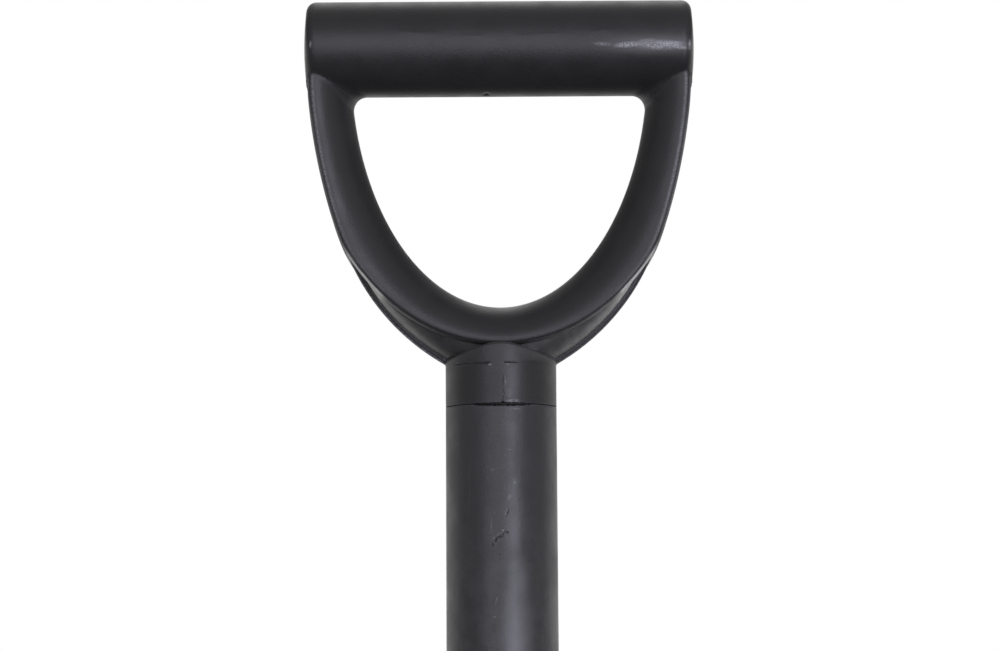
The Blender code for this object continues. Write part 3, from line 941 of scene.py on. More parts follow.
@dataclass
class MouldedHandle:
    """The D handle: grip, loop and neck in one moulding, with the marks of its mould."""

    grip: HandGrip
    loop: HandLoop
    neck: Neck
    corner_round: float = 0.005
    lip_corner_round: float = 0.0012
    neck_round: float = 0.001
    foot_start: float = 0.0085
    lip_zone: float = 0.004  # how far in from the lips' edge the painted highlight lines reach
    grip_clearance: float = 0.0004
    lip_end: float = -0.085  # below this height there are none
    lip_highlight_gain: float = 4.0
    bead_highlight_gains: Range = (2.5, 0.3)  # of the painted highlight on the fin's bead, on the left and on the right
    edge_radii: Range = (0.0017, 0.0007)  # the bluntest edge that wears, and the sharpest

    def corner_at(self, place: Vector) -> float:
        """The radius of the fillet under the grip, which is widest on the hand side."""
        share = min(abs(place.y) / self.loop.lip_depth, 1) ** 3
        return self.corner_round + (self.lip_corner_round - self.corner_round) * share

    def foot_at(self, place: Vector) -> float:
        """The radius of the fillet on the neck's roof, which runs out where the lips rest on its top."""
        share = min(max((abs(place.x) - self.foot_start) / self.foot_start, 0), 1)
        return self.neck_round * share

    def cut_seam(self, places: np.ndarray) -> None:
        """Draws the mould's groove across the front of the neck: open on the left, and faint on the right.

        Args:
            places: The handle's vertices, which are moved.
        """
        neck = self.neck
        wall = 0.0002  # how far from the neck's radius its wall may lie
        stops = [-15.8, -15, -4.2, -3.5, 0.8, 1.3, 4.5, 6.5, 13, 14]  # millimetres across the front
        openness = [0, 1, 1, 0, 0, 0.7, 0.5, 0.25, 0.2, 0]
        raised = [0, 0.5, 0.0, -1, 0]  # at the seam's rows, from the lowest: a ridge under a groove
        mean, swing, pitch = 0.75, 0.5, 700  # its unevenness, and the bumps to a metre
        x, y, z = places.T
        across = np.interp(x / MILLIMETRE, stops, openness)
        down = np.interp(z - neck.seam, neck.seam_rows[::-1], raised)
        radius = np.hypot(x, y)
        on_wall = (np.abs(radius - neck.radius) < wall) & (y < 0)
        uneven = mean + swing * np.array([noise.noise((place * pitch, 0, 0)) for place in x])
        share = np.where(on_wall, 1 + across * down * uneven * neck.seam_depth / neck.radius, 1)
        places[:, 0] *= share
        places[:, 1] *= share

    def build(self) -> Piece:
        """Joins the three forms and fills their corners.

        Returns:
            The handle.
        """
        bar, hoop, stem = self.grip.build(), self.loop.build(), self.neck.build()
        bar_skin, hoop_skin, stem_skin = skin_of(bar), skin_of(hoop), skin_of(stem)
        handle = hoop
        combine(handle, bar, Combining.JOIN)
        combine(handle, stem, Combining.JOIN)
        tidy_mesh(handle)
        fillet(handle, bar_skin, hoop_skin, self.corner_at)
        fillet(handle, hoop_skin, stem_skin, self.foot_at)
        places = vertices_of(handle)
        self.cut_seam(places)
        chip_rim(places, self.neck.end, Rim.LOWER, self.neck.radius, self.neck.chip_depth)
        place_vertices(handle, places)
        # the painted reflection on the belly and in the channel
        write_attribute(handle, "painted_sheen", self.loop.painted_sheen_share(places))
        # painted highlight lines on the lips, added to the edges' worn colour
        lips = np.zeros(len(places), dtype=np.float32)
        handle.data.attributes["lip"].data.foreach_get("value", lips)
        x, y, z = places.T
        off_grip = np.hypot(y, z) > self.grip.radius + self.grip_clearance
        lips *= (self.loop.beyond_lips(places) > -self.lip_zone) & off_grip & (z > self.lip_end)
        # a painted highlight along the fin's bead, added to the edges' worn colour
        rubbed = np.where(x < 0, *self.bead_highlight_gains) * self.loop.bead_highlight_share(places)
        edges = edge_share(handle, *self.edge_radii) + rubbed + self.lip_highlight_gain * lips
        write_attribute(handle, "edge", edges)
        rename(handle, "d_handle_moulding")
        smooth(handle)
        return handle


# The shaft


@dataclass
class ShaftSleeve:
    """The black plastic cover on the steel tube, which widens into a skirt over the socket."""

    top: float
    bottom: float
    mouth: float
    top_radius: float = 0.019
    lower_radius: float = 0.020
    skirt_radius: float = 0.0225
    skirt_flare: float = 0.030
    top_round: float = 0.0004
    skirt_round: float = 0.001
    bore_radius: float = 0.0163
    lap_radius: float = 0.0192
    gap: float = 0.0003
    chip_depth: float = 0.00034
    edge_radii: Range = (0.004, 0.0012)  # the bluntest edge that wears, and the sharpest
    facets: int = 264
    rim_drops: tuple[float, ...] = (0.0006, 0.0014, 0.0026)  # of the rows that the broken rim needs
    first_drop: float = 0.004
    spacing: float = 0.012
    flare_steps: int = 14
    round_steps: int = 4

    def profile(self) -> Profile:
        """The wall's section, as a closed loop of (radius, height)."""
        flare_start = self.bottom + self.skirt_flare
        flare_end = self.bottom + self.skirt_round
        wall_top = self.top - self.top_round
        taper = (self.lower_radius - self.top_radius) / (flare_start - wall_top)
        top_centre = (self.top_radius - self.top_round, wall_top)
        points = arc(top_centre, self.top_round, 90, 0, self.round_steps)
        heights = [wall_top - drop for drop in self.rim_drops]
        heights += steps_between(wall_top - self.first_drop, flare_start, self.spacing)
        points += [(self.top_radius + taper * (height - wall_top), height) for height in heights]
        for share in shares(self.flare_steps)[1:]:
            swell = (1 - math.cos(math.pi * share)) / 2
            radius = self.lower_radius + (self.skirt_radius - self.lower_radius) * swell
            points.append((radius, flare_start + (flare_end - flare_start) * share))
        bottom_centre = (self.skirt_radius - self.skirt_round, flare_end)
        points += arc(bottom_centre, self.skirt_round, 0, -90, self.round_steps)[1:]
        lap_top = self.mouth + self.gap
        points += [(self.lap_radius, self.bottom), (self.lap_radius, lap_top)]
        points += [(self.bore_radius, lap_top), (self.bore_radius, self.top)]
        return points

    def build(self) -> Piece:
        """Turns the sleeve and breaks its upper rim.

        Returns:
            The sleeve.
        """
        sleeve = lathe("shaft_sleeve_extrusion", self.profile(), self.facets, ring=True)
        places = vertices_of(sleeve)
        chip_rim(places, self.top, Rim.UPPER, self.top_radius, self.chip_depth)
        place_vertices(sleeve, places)
        write_attribute(sleeve, "edge", edge_share(sleeve, *self.edge_radii))
        smooth(sleeve)
        return sleeve


# The head


@dataclass
class SpadeHead:
    """The pressed steel head: a dished, pointed sheet, with its frog and socket in one piece."""

    mouth: float
    floor: float
    shoulder: float
    rivets: tuple[float, float]
    width: float = 0.194
    length: float = 0.290
    thickness: float = 0.0022
    ground_share: float = 0.4  # of the thickness, where the point is ground
    ground: float = 0.006  # how far in from the edge the grinding runs
    ground_start: float = 0.024  # length over which it begins, from where the taper does
    taper: float = 0.200
    taper_power: float = 2.0
    tip_power: float = 0.72
    dish: float = 0.014
    lift: float = 0.022
    lift_power: float = 1.6
    shoulder_round: float = 0.008
    tip_blunt: float = 0.004
    socket_radius: float = 0.0189
    bore_radius: float = 0.0163
    frog_width: float = 0.042
    frog_depth: float = 0.026
    frog_length: float = 0.130
    frog_power: float = 1.5
    frog_sunk: float = 0.99
    frog_round: float = 0.007
    rivet_hole: float = 0.0033
    rivet_sides: int = 32
    drill_length: float = 0.06
    rim_round: float = 0.00025
    wear_everywhere: float = 0.08
    rim_wear: float = 0.75
    rim_reach: float = 0.007
    shoulder_wear: float = 0.25  # of the rim's wear, at the shoulder
    point_wear: float = 0.55
    point_reach: float = 0.055
    low_wear: float = 0.16
    low_power: float = 1.5
    columns: int = 110
    rows: int = 150
    socket_sides: int = 96
    socket_rows: int = 96
    straight_rows: float = 0.25  # share of them on the socket's round part

    def half_width(self, drop: float) -> float:
        """Half the sheet's width.

        Args:
            drop: The distance below the shoulder.

        Returns:
            The half width.
        """
        half, corner = self.width / 2, self.shoulder_round
        if drop < corner:
            return half - corner + math.sqrt(max(corner**2 - (corner - drop) ** 2, 0))
        from_tip = max(self.length - drop, 0)
        if from_tip < self.taper:
            share = (1 - (1 - from_tip / self.taper) ** self.taper_power) ** self.tip_power
            return max(half * share, self.tip_blunt / 2)
        return half

    def forward(self, across: float, drop: float) -> float:
        """How far forward the middle of the sheet lies, at a distance aside and below the shoulder."""
        dished = self.dish * (across / (self.width / 2)) ** 2
        return dished + self.lift * max(drop / self.length, 0) ** self.lift_power

    def edge_distance(self, across: float, drop: float) -> float:
        """About how far a place on the sheet lies from its outline.

        Args:
            across: The distance from the middle line.
            drop: The distance below the shoulder.

        Returns:
            The distance.
        """
        near = 0.001
        slope = (self.half_width(drop + near) - self.half_width(drop - near)) / (2 * near)
        return (self.half_width(drop) - abs(across)) / math.hypot(1, slope)

    def sheet(self) -> Piece:
        """Draws a grid to the outline, thickens it, and grinds its edge thinner towards the point.

        Returns:
            The sheet.
        """
        deselect()
        bpy.ops.mesh.primitive_grid_add(x_subdivisions=self.columns, y_subdivisions=self.rows)
        sheet = named("blade_sheet_form")
        places = []
        for x, y, _ in vertices_of(sheet):
            drop = self.length * (1 - math.cos(math.pi * (1 - y) / 2)) / 2
            across = self.half_width(drop) * x
            places.append((across, -self.forward(across, drop), self.shoulder - drop))
        place_vertices(sheet, np.array(places))
        apply_modifier(sheet, "SOLIDIFY", thickness=self.thickness, offset=0, use_even_offset=True)
        places = vertices_of(sheet)
        for place in places:
            drop = self.shoulder - place[2]
            middle = -self.forward(place[0], drop)
            inward = min(max(self.edge_distance(place[0], drop) / self.ground, 0), 1)
            low = min(max((drop - (self.length - self.taper)) / self.ground_start, 0), 1)
            thin = 1 - (1 - self.ground_share) * low * (1 - inward)
            place[1] = middle + (place[1] - middle) * thin
        place_vertices(sheet, places)
        tidy_mesh(sheet)
        return sheet

    def socket_section(self, height: float) -> Point:
        """The socket's and the frog's section.

        Args:
            height: Where it is cut.

        Returns:
            Half its width, half its depth, and how far forward it lies.
        """
        round_radius = self.socket_radius
        if height >= self.floor:
            return round_radius, round_radius, 0.0
        if height >= self.shoulder:
            share = float(ease(height, self.floor, self.shoulder))
            wide = round_radius + (self.frog_width / 2 - round_radius) * share
            return wide, round_radius + (self.frog_depth / 2 - round_radius) * share, 0.0
        drop = self.shoulder - height
        share = drop / self.frog_length
        deep = self.frog_depth / 2 * (1 - share) ** self.frog_power
        wide = self.frog_width / 2 * math.sqrt(max(1 - share**2, 0))
        return wide, max(deep, self.thickness / 4), self.forward(0, drop)

    def socket(self) -> Piece:
        """Rolls the round socket, which flattens into the frog.

        Returns:
            The socket.
        """
        end = self.shoulder - self.frog_sunk * self.frog_length
        straight = self.straight_rows

        def place(around: float, down: float) -> Point:
            """A point of the socket.

            Args:
                around: Its share round the socket.
                down: Its share down the socket.

            Returns:
                The point.
            """
            if down < straight:
                height = self.mouth + (self.floor - self.mouth) * down / straight
            else:
                height = self.floor + (end - self.floor) * (down - straight) / (1 - straight)
            wide, deep, forward = self.socket_section(height)
            angle = 2 * math.pi * around
            return wide * math.cos(angle), deep * math.sin(angle) - forward, height

        return rolled("socket_form", self.socket_sides, self.socket_rows, place)

    def wear(self, places: np.ndarray) -> np.ndarray:
        """Where digging has worn the coat off: along the ground edge, and most of all at the point.

        Args:
            places: The head's vertices.

        Returns:
            A number from 0 to 1 for each vertex.
        """
        worn = []
        for x, _, z in places:
            drop = self.shoulder - z
            if drop < 0:
                worn.append(self.wear_everywhere)
                continue
            low = (drop / self.length) ** self.low_power
            rim = math.exp(-max(self.edge_distance(x, drop), 0) / self.rim_reach)
            rim *= self.rim_wear * (self.shoulder_wear + (1 - self.shoulder_wear) * low)
            point = self.point_wear * math.exp(-max(self.length - drop, 0) / self.point_reach)
            worn.append(min(self.wear_everywhere + rim + point + self.low_wear * low, 1))
        return np.array(worn)

    def build(self) -> Piece:
        """Joins sheet and socket, fills the corner between them, and bores the socket.

        Returns:
            The head.
        """
        head, socket = self.sheet(), self.socket()
        sheet_skin, socket_skin = skin_of(head), skin_of(socket)
        combine(head, socket, Combining.JOIN)
        tidy_mesh(head)
        fillet(head, sheet_skin, socket_skin, lambda place: self.frog_round)
        deselect()
        depth = 2 * (self.mouth - self.floor)
        bpy.ops.mesh.primitive_cylinder_add(
            vertices=self.socket_sides, radius=self.bore_radius, depth=depth, location=(0, 0, self.mouth)
        )
        combine(head, named("socket_bore_form"), Combining.CUT)
        for height in self.rivets:
            deselect()
            bpy.ops.mesh.primitive_cylinder_add(
                vertices=self.rivet_sides,
                radius=self.rivet_hole,
                depth=self.drill_length,
                location=(0, 0, height),
                rotation=(QUARTER_TURN, 0, 0),
            )
            combine(head, named("rivet_hole_form"), Combining.CUT)
        round_edges(head, self.rim_round, 2)
        tidy_mesh(head)
        rename(head, "pressed_blade_and_socket")
        write_attribute(head, "worn", self.wear(vertices_of(head)))
        smooth(head)
        return head


@dataclass
class FootTread:
    """A flat steel tread, welded along one half of the shoulder, with a bead under it front and back."""

    head: SpadeHead
    thickness: float = 0.004
    depth: float = 0.020
    standoff: float = 0.003  # from the frog
    gap: float = 0.0003
    edge_round: float = 0.001
    edge_segments: int = 4
    edge_radii: Range = (0.004, 0.0012)  # the bluntest edge that wears, and the sharpest
    wear_everywhere: float = 0.1
    edge_wear: float = 0.75
    spacing: float = 0.0052
    bead_radius: float = 0.0017
    bead_out: float = 0.35  # of its radius, from the sheet's face to its middle
    bead_under: float = 0.45  # of its radius, from the tread's underside down to its middle
    bead_pitch: float = 0.0024  # of the ripples that the welder's stops leave
    bead_ripple: float = 0.2  # of its radius
    bead_end: float = 0.15  # the square of how thick it still is at its ends
    bead_wander: float = 0.12  # of its radius, up and down
    bead_waves: float = 260.0  # radians to a metre
    bead_wear: float = 0.12
    bead_sides: int = 14
    ripple_rows: int = 8  # rows to a ripple

    @property
    def inner(self) -> float:
        """Where the tread begins."""
        return self.head.frog_width / 2 + self.standoff

    @property
    def outer(self) -> float:
        """Where the tread ends."""
        return self.head.width / 2 - self.head.shoulder_round

    def build(self, side: Side) -> Piece:
        """Slices a flat bar, curves it to the blade's dish, and rounds its edges.

        Args:
            side: The half of the shoulder that it lies on.

        Returns:
            The tread.
        """
        deselect()
        bottom = self.head.shoulder + self.gap
        middle = (self.inner + self.outer) / 2
        centre = (side.value * middle, 0, bottom + self.thickness / 2)
        bpy.ops.mesh.primitive_cube_add(size=1, location=centre)
        bpy.ops.transform.resize(value=(self.outer - self.inner, self.depth, self.thickness))
        tread = named(f"foot_tread_{side.name.lower()}")
        edit_mode()
        cuts = steps_between(self.inner, self.outer, self.spacing)[1:-1]
        slice_across(0, [side.value * cut for cut in cuts])
        object_mode()
        round_edges(tread, self.edge_round, self.edge_segments)
        places = vertices_of(tread)
        places[:, 1] -= [self.head.forward(x, 0) for x in places[:, 0]]
        place_vertices(tread, places)
        tidy_mesh(tread)
        worn = self.wear_everywhere + self.edge_wear * edge_share(tread, *self.edge_radii)
        write_attribute(tread, "worn", worn)
        smooth(tread)
        return tread

    def bead(self, side: Side, face: Face) -> Piece:
        """Rolls the rippled weld under the tread, on one face of the sheet.

        Args:
            side: The half of the shoulder that it lies on.
            face: The face that it lies on.

        Returns:
            The bead.
        """
        start, stop = self.inner + self.bead_radius, self.outer - self.bead_radius
        place_y = face.value * (self.head.thickness / 2 + self.bead_radius * self.bead_out)
        place_z = self.head.shoulder + self.gap - self.bead_radius * self.bead_under

        def place(around: float, along: float) -> Point:
            """A point of the bead.

            Args:
                around: Its share round the bead.
                along: Its share along the bead.

            Returns:
                The point.
            """
            x = start + (stop - start) * along
            ripple = 1 - self.bead_ripple * (1 - abs(math.sin(math.pi * x / self.bead_pitch)))
            ends = min(along, 1 - along) * (stop - start) / self.bead_radius
            radius = self.bead_radius * ripple * math.sqrt(min(self.bead_end + ends, 1))
            angle = 2 * math.pi * around
            wander = self.bead_wander * self.bead_radius * math.sin(self.bead_waves * x)
            y = place_y - self.head.forward(x, 0) + radius * math.cos(angle)
            return side.value * x, y, place_z + wander + radius * math.sin(angle)

        rows = math.ceil((stop - start) / (self.bead_pitch / self.ripple_rows))
        name = f"tread_weld_{side.name.lower()}_{face.name.lower()}"
        bead = rolled(name, self.bead_sides, rows, place)
        write_attribute(bead, "worn", np.full(len(bead.data.vertices), self.bead_wear))
        smooth(bead)
        return bead


@dataclass
class SocketRivet:
    """A steel rivet through socket, tube and plug, with a domed head set down on each side."""

    seat: float
    shank_radius: float = 0.003
    head_radius: float = 0.006
    head_height: float = 0.003
    pole: float = 0.05  # share of the quarter turn at which the dome's flat top begins
    dome_steps: int = 12
    facets: int = 48

    def build(self, name: str, height: float) -> Piece:
        """Turns the rivet, lays it across the socket, and seats the heads' rims on the round wall.

        Args:
            name: The rivet's name.
            height: Its height on the socket.

        Returns:
            The rivet.
        """
        dome = []
        for share in shares(self.dome_steps):
            angle = QUARTER_TURN * (self.pole + (1 - self.pole) * share)
            dome.append((self.head_radius * math.sin(angle), self.seat + self.head_height * math.cos(angle)))
        half = [*dome, (self.shank_radius, self.seat)]
        rivet = lathe(name, half + [(radius, -z) for radius, z in reversed(half)], self.facets)
        rivet.rotation_euler.x = QUARTER_TURN
        rivet.location.z = height
        bpy.ops.object.transform_apply(location=True, rotation=True, scale=True)
        places = vertices_of(rivet)
        x, y = places[:, 0], np.abs(places[:, 1])
        sag = self.seat - np.sqrt(self.seat**2 - np.minimum(np.abs(x), self.seat) ** 2)
        rim = np.clip(1 - (y - self.seat) / self.head_height, 0, 1) * (y > self.seat - WELD_DISTANCE)
        places[:, 1] -= np.sign(places[:, 1]) * sag * rim
        place_vertices(rivet, places)
        smooth(rivet)
        return rivet


# Finishes


SMOOTH = {"interpolation_type": "SMOOTHSTEP"}  # a MapRange's settings
COLOUR = {"data_type": "RGBA"}  # a Mix's
TIMES = {"operation": "MULTIPLY"}  # a Math's
TIMES_PLUS = {"operation": "MULTIPLY_ADD"}
NOISE_SPREAD = (0.3, 0.7)  # nearly all of a noise lies between these
NOISE_CORE = (0.35, 0.65)  # and most of it between these


def linear(colour: str) -> tuple[float, float, float, float]:
    """Turns an sRGB colour to linear.

    Args:
        colour: A hex code.

    Returns:
        The colour, with full alpha.
    """
    parts = [int(colour[i : i + 2], 16) / 255 for i in (1, 3, 5)]
    red, green, blue = (p / 12.92 if p <= 0.04045 else ((p + 0.055) / 1.055) ** 2.4 for p in parts)
    return red, green, blue, 1.0


def first_output(node: Node) -> Socket:
    """The first output that a node's settings leave in use."""
    return next(output for output in node.outputs if output.enabled)


def add_node(tree: Tree, kind: str, inputs: dict | tuple = (), **settings: object) -> Node:
    """Adds a shader node with its settings and links.

    Args:
        tree: The tree it goes in.
        kind: The node's type, without ShaderNode in front.
        inputs: The inputs in their order, or each by its name or number. One is a value, an sRGB hex
            code, or the node or output that is linked to it.
        **settings: The node's own settings.

    Returns:
        The node.
    """
    node = tree.nodes.new("ShaderNode" + kind)
    for setting, value in settings.items():
        setattr(node, setting, value)
    for socket, value in inputs.items() if isinstance(inputs, dict) else enumerate(inputs):
        if isinstance(value, Node):
            value = first_output(value)
        if isinstance(value, Socket):
            tree.links.new(value, node.inputs[socket])
        else:
            node.inputs[socket].default_value = linear(value) if isinstance(value, str) else value
    return node


def new_material(name: str) -> tuple[Material, Adder, Socket]:
    """Starts a material.

    Args:
        name: The real material and how its surface was made.

    Returns:
        The material, what adds a node to it, and its object coordinates.
    """
    material = bpy.data.materials.new(name)
    material.use_nodes = True
    add = partial(add_node, material.node_tree)
    return material, add, add("TexCoord").outputs["Object"]


def streaks(add: Adder, place: Socket, sizes: Point, detail: float = 2.0) -> Node:
    """Draws a noise that has its own real size along each axis."""
    drawn = add("Mapping", {"Vector": place, "Scale": [1 / size for size in sizes]})
    return add("TexNoise", {"Vector": drawn, "Scale": 1.0, "Detail": detail})


def connect(material: Material, surface: Surface, relief: float) -> Node:
    """Leads a finish's patterns to its shader.

    Args:
        material: The material.
        surface: Its colour, roughness and relief, which runs from 0 to about 1.
        relief: How deep that is.

    Returns:
        The shader.
    """
    tree = material.node_tree
    shader = tree.nodes["Principled BSDF"]
    tone, rough, height = surface
    bump = add_node(tree, "Bump", {"Height": height, "Strength": 1.0, "Distance": relief})
    for socket, node in (("Base Color", tone), ("Roughness", rough), ("Normal", bump)):
        tree.links.new(first_output(node), shader.inputs[socket])
    return shader


@dataclass(frozen=True)
class Mark:
    """A small mark of use, a painted highlight or a painted shade on a piece's front, in millimetres."""

    kind: MarkKind
    centre: Point
    half_width: float
    half_length: float
    slope: float = 0.0  # degrees that its length leans to the right from upright
    strength: float = 0.5
    pale: str = "#7C7C80"
    dark: str = "#0B0B0C"
    through: float = 30.0  # it stays on the front, because the other side lies further off than this
    raggedness: float = 1.4  # how far the noise moves its outline, in shares of its size
    outline: Range = (1.15, 1.7)  # where it begins to fade and where it ends, with the noise added
    patches: Range = (0.42, 0.58)  # the noise at which a rub is weakest, and strongest
    weakest: float = 0.15

    def draw(self, add: Adder, place: Socket, ragged: Node, tone: Node) -> tuple[Node, Node]:
        """Draws the mark over a colour: a rub or a painted highlight paler, a pit, dirt or painted shade
        darker.

        Args:
            add: Adds a node to the material.
            place: The object coordinates.
            ragged: A fine noise that breaks its outline.
            tone: The colour so far.

        Returns:
            The new colour, and where the mark is.
        """
        inputs = {
            "Vector": place,
            "Location": [part * MILLIMETRE for part in self.centre],
            "Rotation": (0, math.radians(self.slope), 0),
            "Scale": [part * MILLIMETRE for part in (self.half_width, self.through, self.half_length)],
        }
        local = add("Mapping", inputs, vector_type="TEXTURE")
        far = add("VectorMath", (local,), operation="LENGTH")
        # a painted highlight fades smoothly, with no ragged outline
        if self.kind is MarkKind.PAINTED_HIGHLIGHT:
            where = add("MapRange", (far, 0.0, 1.0, self.strength, 0.0), **SMOOTH)
        else:
            far = add("Math", (ragged, self.raggedness, far), **TIMES_PLUS)
            where = add("MapRange", (far, *self.outline, self.strength, 0.0), **SMOOTH)
        if self.kind is MarkKind.RUB_AND_HIGHLIGHT:
            patchy = add("MapRange", (ragged, *self.patches, self.weakest, 1.0), **SMOOTH)
            where = add("Math", (where, patchy), **TIMES)
        colour = self.dark if self.kind is MarkKind.PIT_AND_SHADE else self.pale
        return add("Mix", {0: where, 6: tone, 7: colour}, **COLOUR), where


@dataclass(frozen=True)
class Plastic:
    """What the spade's two plastics share: a black that edges, marks of use and painted highlights make
    paler.
    """

    name: str
    dark: str
    light: str
    roughness: Range
    marks: tuple[Mark, ...] = ()
    worn_and_highlight_colour: str = "#6A6A6E"
    worn_grain: float = 0.55 * MILLIMETRE
    worn_patches: Range = (0.40, 0.62)  # the noise at which an edge is least worn, and most
    worn_and_highlight_shares: Range = (0.09, 0.28)  # how much of the worn colour it has then
    worn_roughness: float = 0.12
    pit_and_shade_depth: float = 3.0  # of the relief
    relief: float = 0.02 * MILLIMETRE
    ior: float = 1.49

    def skin(self, add: Adder, place: Socket) -> Surface:
        """The surface as it was made.

        Args:
            add: Adds a node to the material.
            place: The object coordinates.

        Returns:
            Its colour, roughness and relief.
        """
        raise NotImplementedError

    def build(self) -> Material:
        """Makes the material: the surface as made, then the wear of its edges with the handle's painted
        highlight lines, then its marks, some of which are painted highlight or shade.

        Returns:
            The material.
        """
        material, add, place = new_material(self.name)
        tone, rough, height = self.skin(add, place)
        ragged = add("TexNoise", {"Vector": place, "Scale": 1 / self.worn_grain, "Detail": 3.0})
        # on the handle this attribute also holds the painted highlights along its lips and fin bead
        edge = add("Attribute", attribute_name="edge").outputs["Fac"]
        patchy = add("MapRange", (ragged, *self.worn_patches, *self.worn_and_highlight_shares), **SMOOTH)
        worn = add("Math", (edge, patchy), **TIMES)
        tone = add("Mix", {0: worn, 6: tone, 7: self.worn_and_highlight_colour}, **COLOUR)
        for mark in self.marks:
            tone, where = mark.draw(add, place, ragged, tone)
            worn = add("Math", (worn, where))
            if mark.kind is MarkKind.PIT_AND_SHADE:
                height = add("Math", (where, -self.pit_and_shade_depth, height), **TIMES_PLUS)
        rough = add("Math", (worn, self.worn_roughness, rough), **TIMES_PLUS)
        connect(material, (tone, rough, height), self.relief).inputs["IOR"].default_value = self.ior
        return material


@dataclass(frozen=True)
class MouldedPlastic(Plastic):
    """Black polypropylene from the mould: satin, a shade uneven, finely grained, with a reflection painted
    pale on the loop's belly.
    """

    flow: float = 9 * MILLIMETRE  # size of the patches where the melt cooled unevenly
    grain: float = 0.7 * MILLIMETRE  # the mould's own is under 0.1 mm, and is drawn coarser to show
    # the colour of the reflection painted on the belly
    painted_sheen: str = "#C6C5C1"
    sheen_patch: float = 3.5 * MILLIMETRE
    sheen_shares: Range = (0.66, 0.968)  # of its colour, where it is weak and where it is strong
    sheen_roughness: float = 0.4
    flow_height: float = 2.0  # of the relief
    grain_height: float = 2.5

    def skin(self, add: Adder, place: Socket) -> Surface:
        """The moulded surface, with the reflection painted pale on the loop's belly and in its channel.

        Args:
            add: Adds a node to the material.
            place: The object coordinates.

        Returns:
            Its colour, roughness and relief.
        """
        flow = add("TexNoise", {"Vector": place, "Scale": 1 / self.flow, "Detail": 4.0})
        grain = add("TexNoise", {"Vector": place, "Scale": 1 / self.grain})
        # the painted reflection is patchy
        patchy = add("TexNoise", {"Vector": place, "Scale": 1 / self.sheen_patch, "Detail": 4.0})
        patchy = add("MapRange", (patchy, *NOISE_CORE, *self.sheen_shares), **SMOOTH)
        painted_sheen = add("Attribute", attribute_name="painted_sheen").outputs["Fac"]
        painted_sheen = add("Math", (painted_sheen, patchy), **TIMES)
        tone = add("Mix", {0: flow, 6: self.dark, 7: self.light}, **COLOUR)
        tone = add("Mix", {0: painted_sheen, 6: tone, 7: self.painted_sheen}, **COLOUR)
        rough = add("MapRange", (flow, *NOISE_SPREAD, *self.roughness), **SMOOTH)
        rough = add("Math", (painted_sheen, self.sheen_roughness, rough), **TIMES_PLUS)
        relief = add("Math", (grain, self.grain_height), **TIMES)
        return tone, rough, add("Math", (flow, self.flow_height, relief), **TIMES_PLUS)


@dataclass(frozen=True)
class ExtrudedPlastic(Plastic):
    """Black polypropylene pulled through a die: a shade paler, with faint lines along it, hairlines, and a
    painted highlight lower down.
    """

    lines: Point = (0.5 * MILLIMETRE, 0.5 * MILLIMETRE, 60 * MILLIMETRE)
    waves: Point = (7 * MILLIMETRE, 7 * MILLIMETRE, 12 * MILLIMETRE)  # left by the cooling
    grain: float = 0.6 * MILLIMETRE  # the die's own is finer, and is drawn coarser to show
    cloud: float = 12 * MILLIMETRE
    hair_noise: Range = (0.66, 0.72)  # the lines' noise at which a hairline begins, and is full
    hair_share: float = 0.18
    hair_colour: str = "#68686C"
    rubbed: Range = (-0.200, -0.135)  # heights over which the painted highlight lower down, and the glossier finish there, fade out
    lower_highlight_patch: float = 5 * MILLIMETRE
    lower_highlight_share: float = 0.06
    lower_highlight_colour: str = "#7C7C80"
    rubbed_gloss: float = 0.05
    line_height: float = 0.3  # of the relief
    grain_height: float = 2.5
    wave_height: float = 8.0

    def skin(self, add: Adder, place: Socket) -> Surface:
        """The extruded surface.

        Args:
            add: Adds a node to the material.
            place: The object coordinates.

        Returns:
            Its colour, roughness and relief.
        """
        lines = streaks(add, place, self.lines)
        waves = streaks(add, place, self.waves)
        grain = add("TexNoise", {"Vector": place, "Scale": 1 / self.grain})
        cloudy = add("TexNoise", {"Vector": place, "Scale": 1 / self.cloud, "Detail": 4.0})
        hairs = add("MapRange", (lines, *self.hair_noise, 0.0, self.hair_share), **SMOOTH)
        tone = add("Mix", {0: cloudy, 6: self.dark, 7: self.light}, **COLOUR)
        tone = add("Mix", {0: hairs, 6: tone, 7: self.hair_colour}, **COLOUR)
        up = add("SeparateXYZ", (place,)).outputs["Z"]
        # Lower down, the sleeve is painted paler in patches, a painted highlight, and made a little glossier.
        lower_down = add("MapRange", (up, *self.rubbed, 1.0, 0.0), **SMOOTH)
        patchy = add("TexNoise", {"Vector": place, "Scale": 1 / self.lower_highlight_patch, "Detail": 5.0})
        patchy = add("MapRange", (patchy, *NOISE_CORE, 0.0, self.lower_highlight_share), **SMOOTH)
        lower_highlight = add("Math", (patchy, lower_down), **TIMES)
        tone = add("Mix", {0: lower_highlight, 6: tone, 7: self.lower_highlight_colour}, **COLOUR)
        rough = add("MapRange", (cloudy, *NOISE_CORE, *self.roughness), **SMOOTH)
        rough = add("Math", (lower_down, -self.rubbed_gloss, rough), **TIMES_PLUS)
        grain = add("Math", (grain, self.grain_height), **TIMES)
        height = add("Math", (lines, self.line_height, grain), **TIMES_PLUS)
        return tone, rough, add("Math", (waves, self.wave_height, height), **TIMES_PLUS)


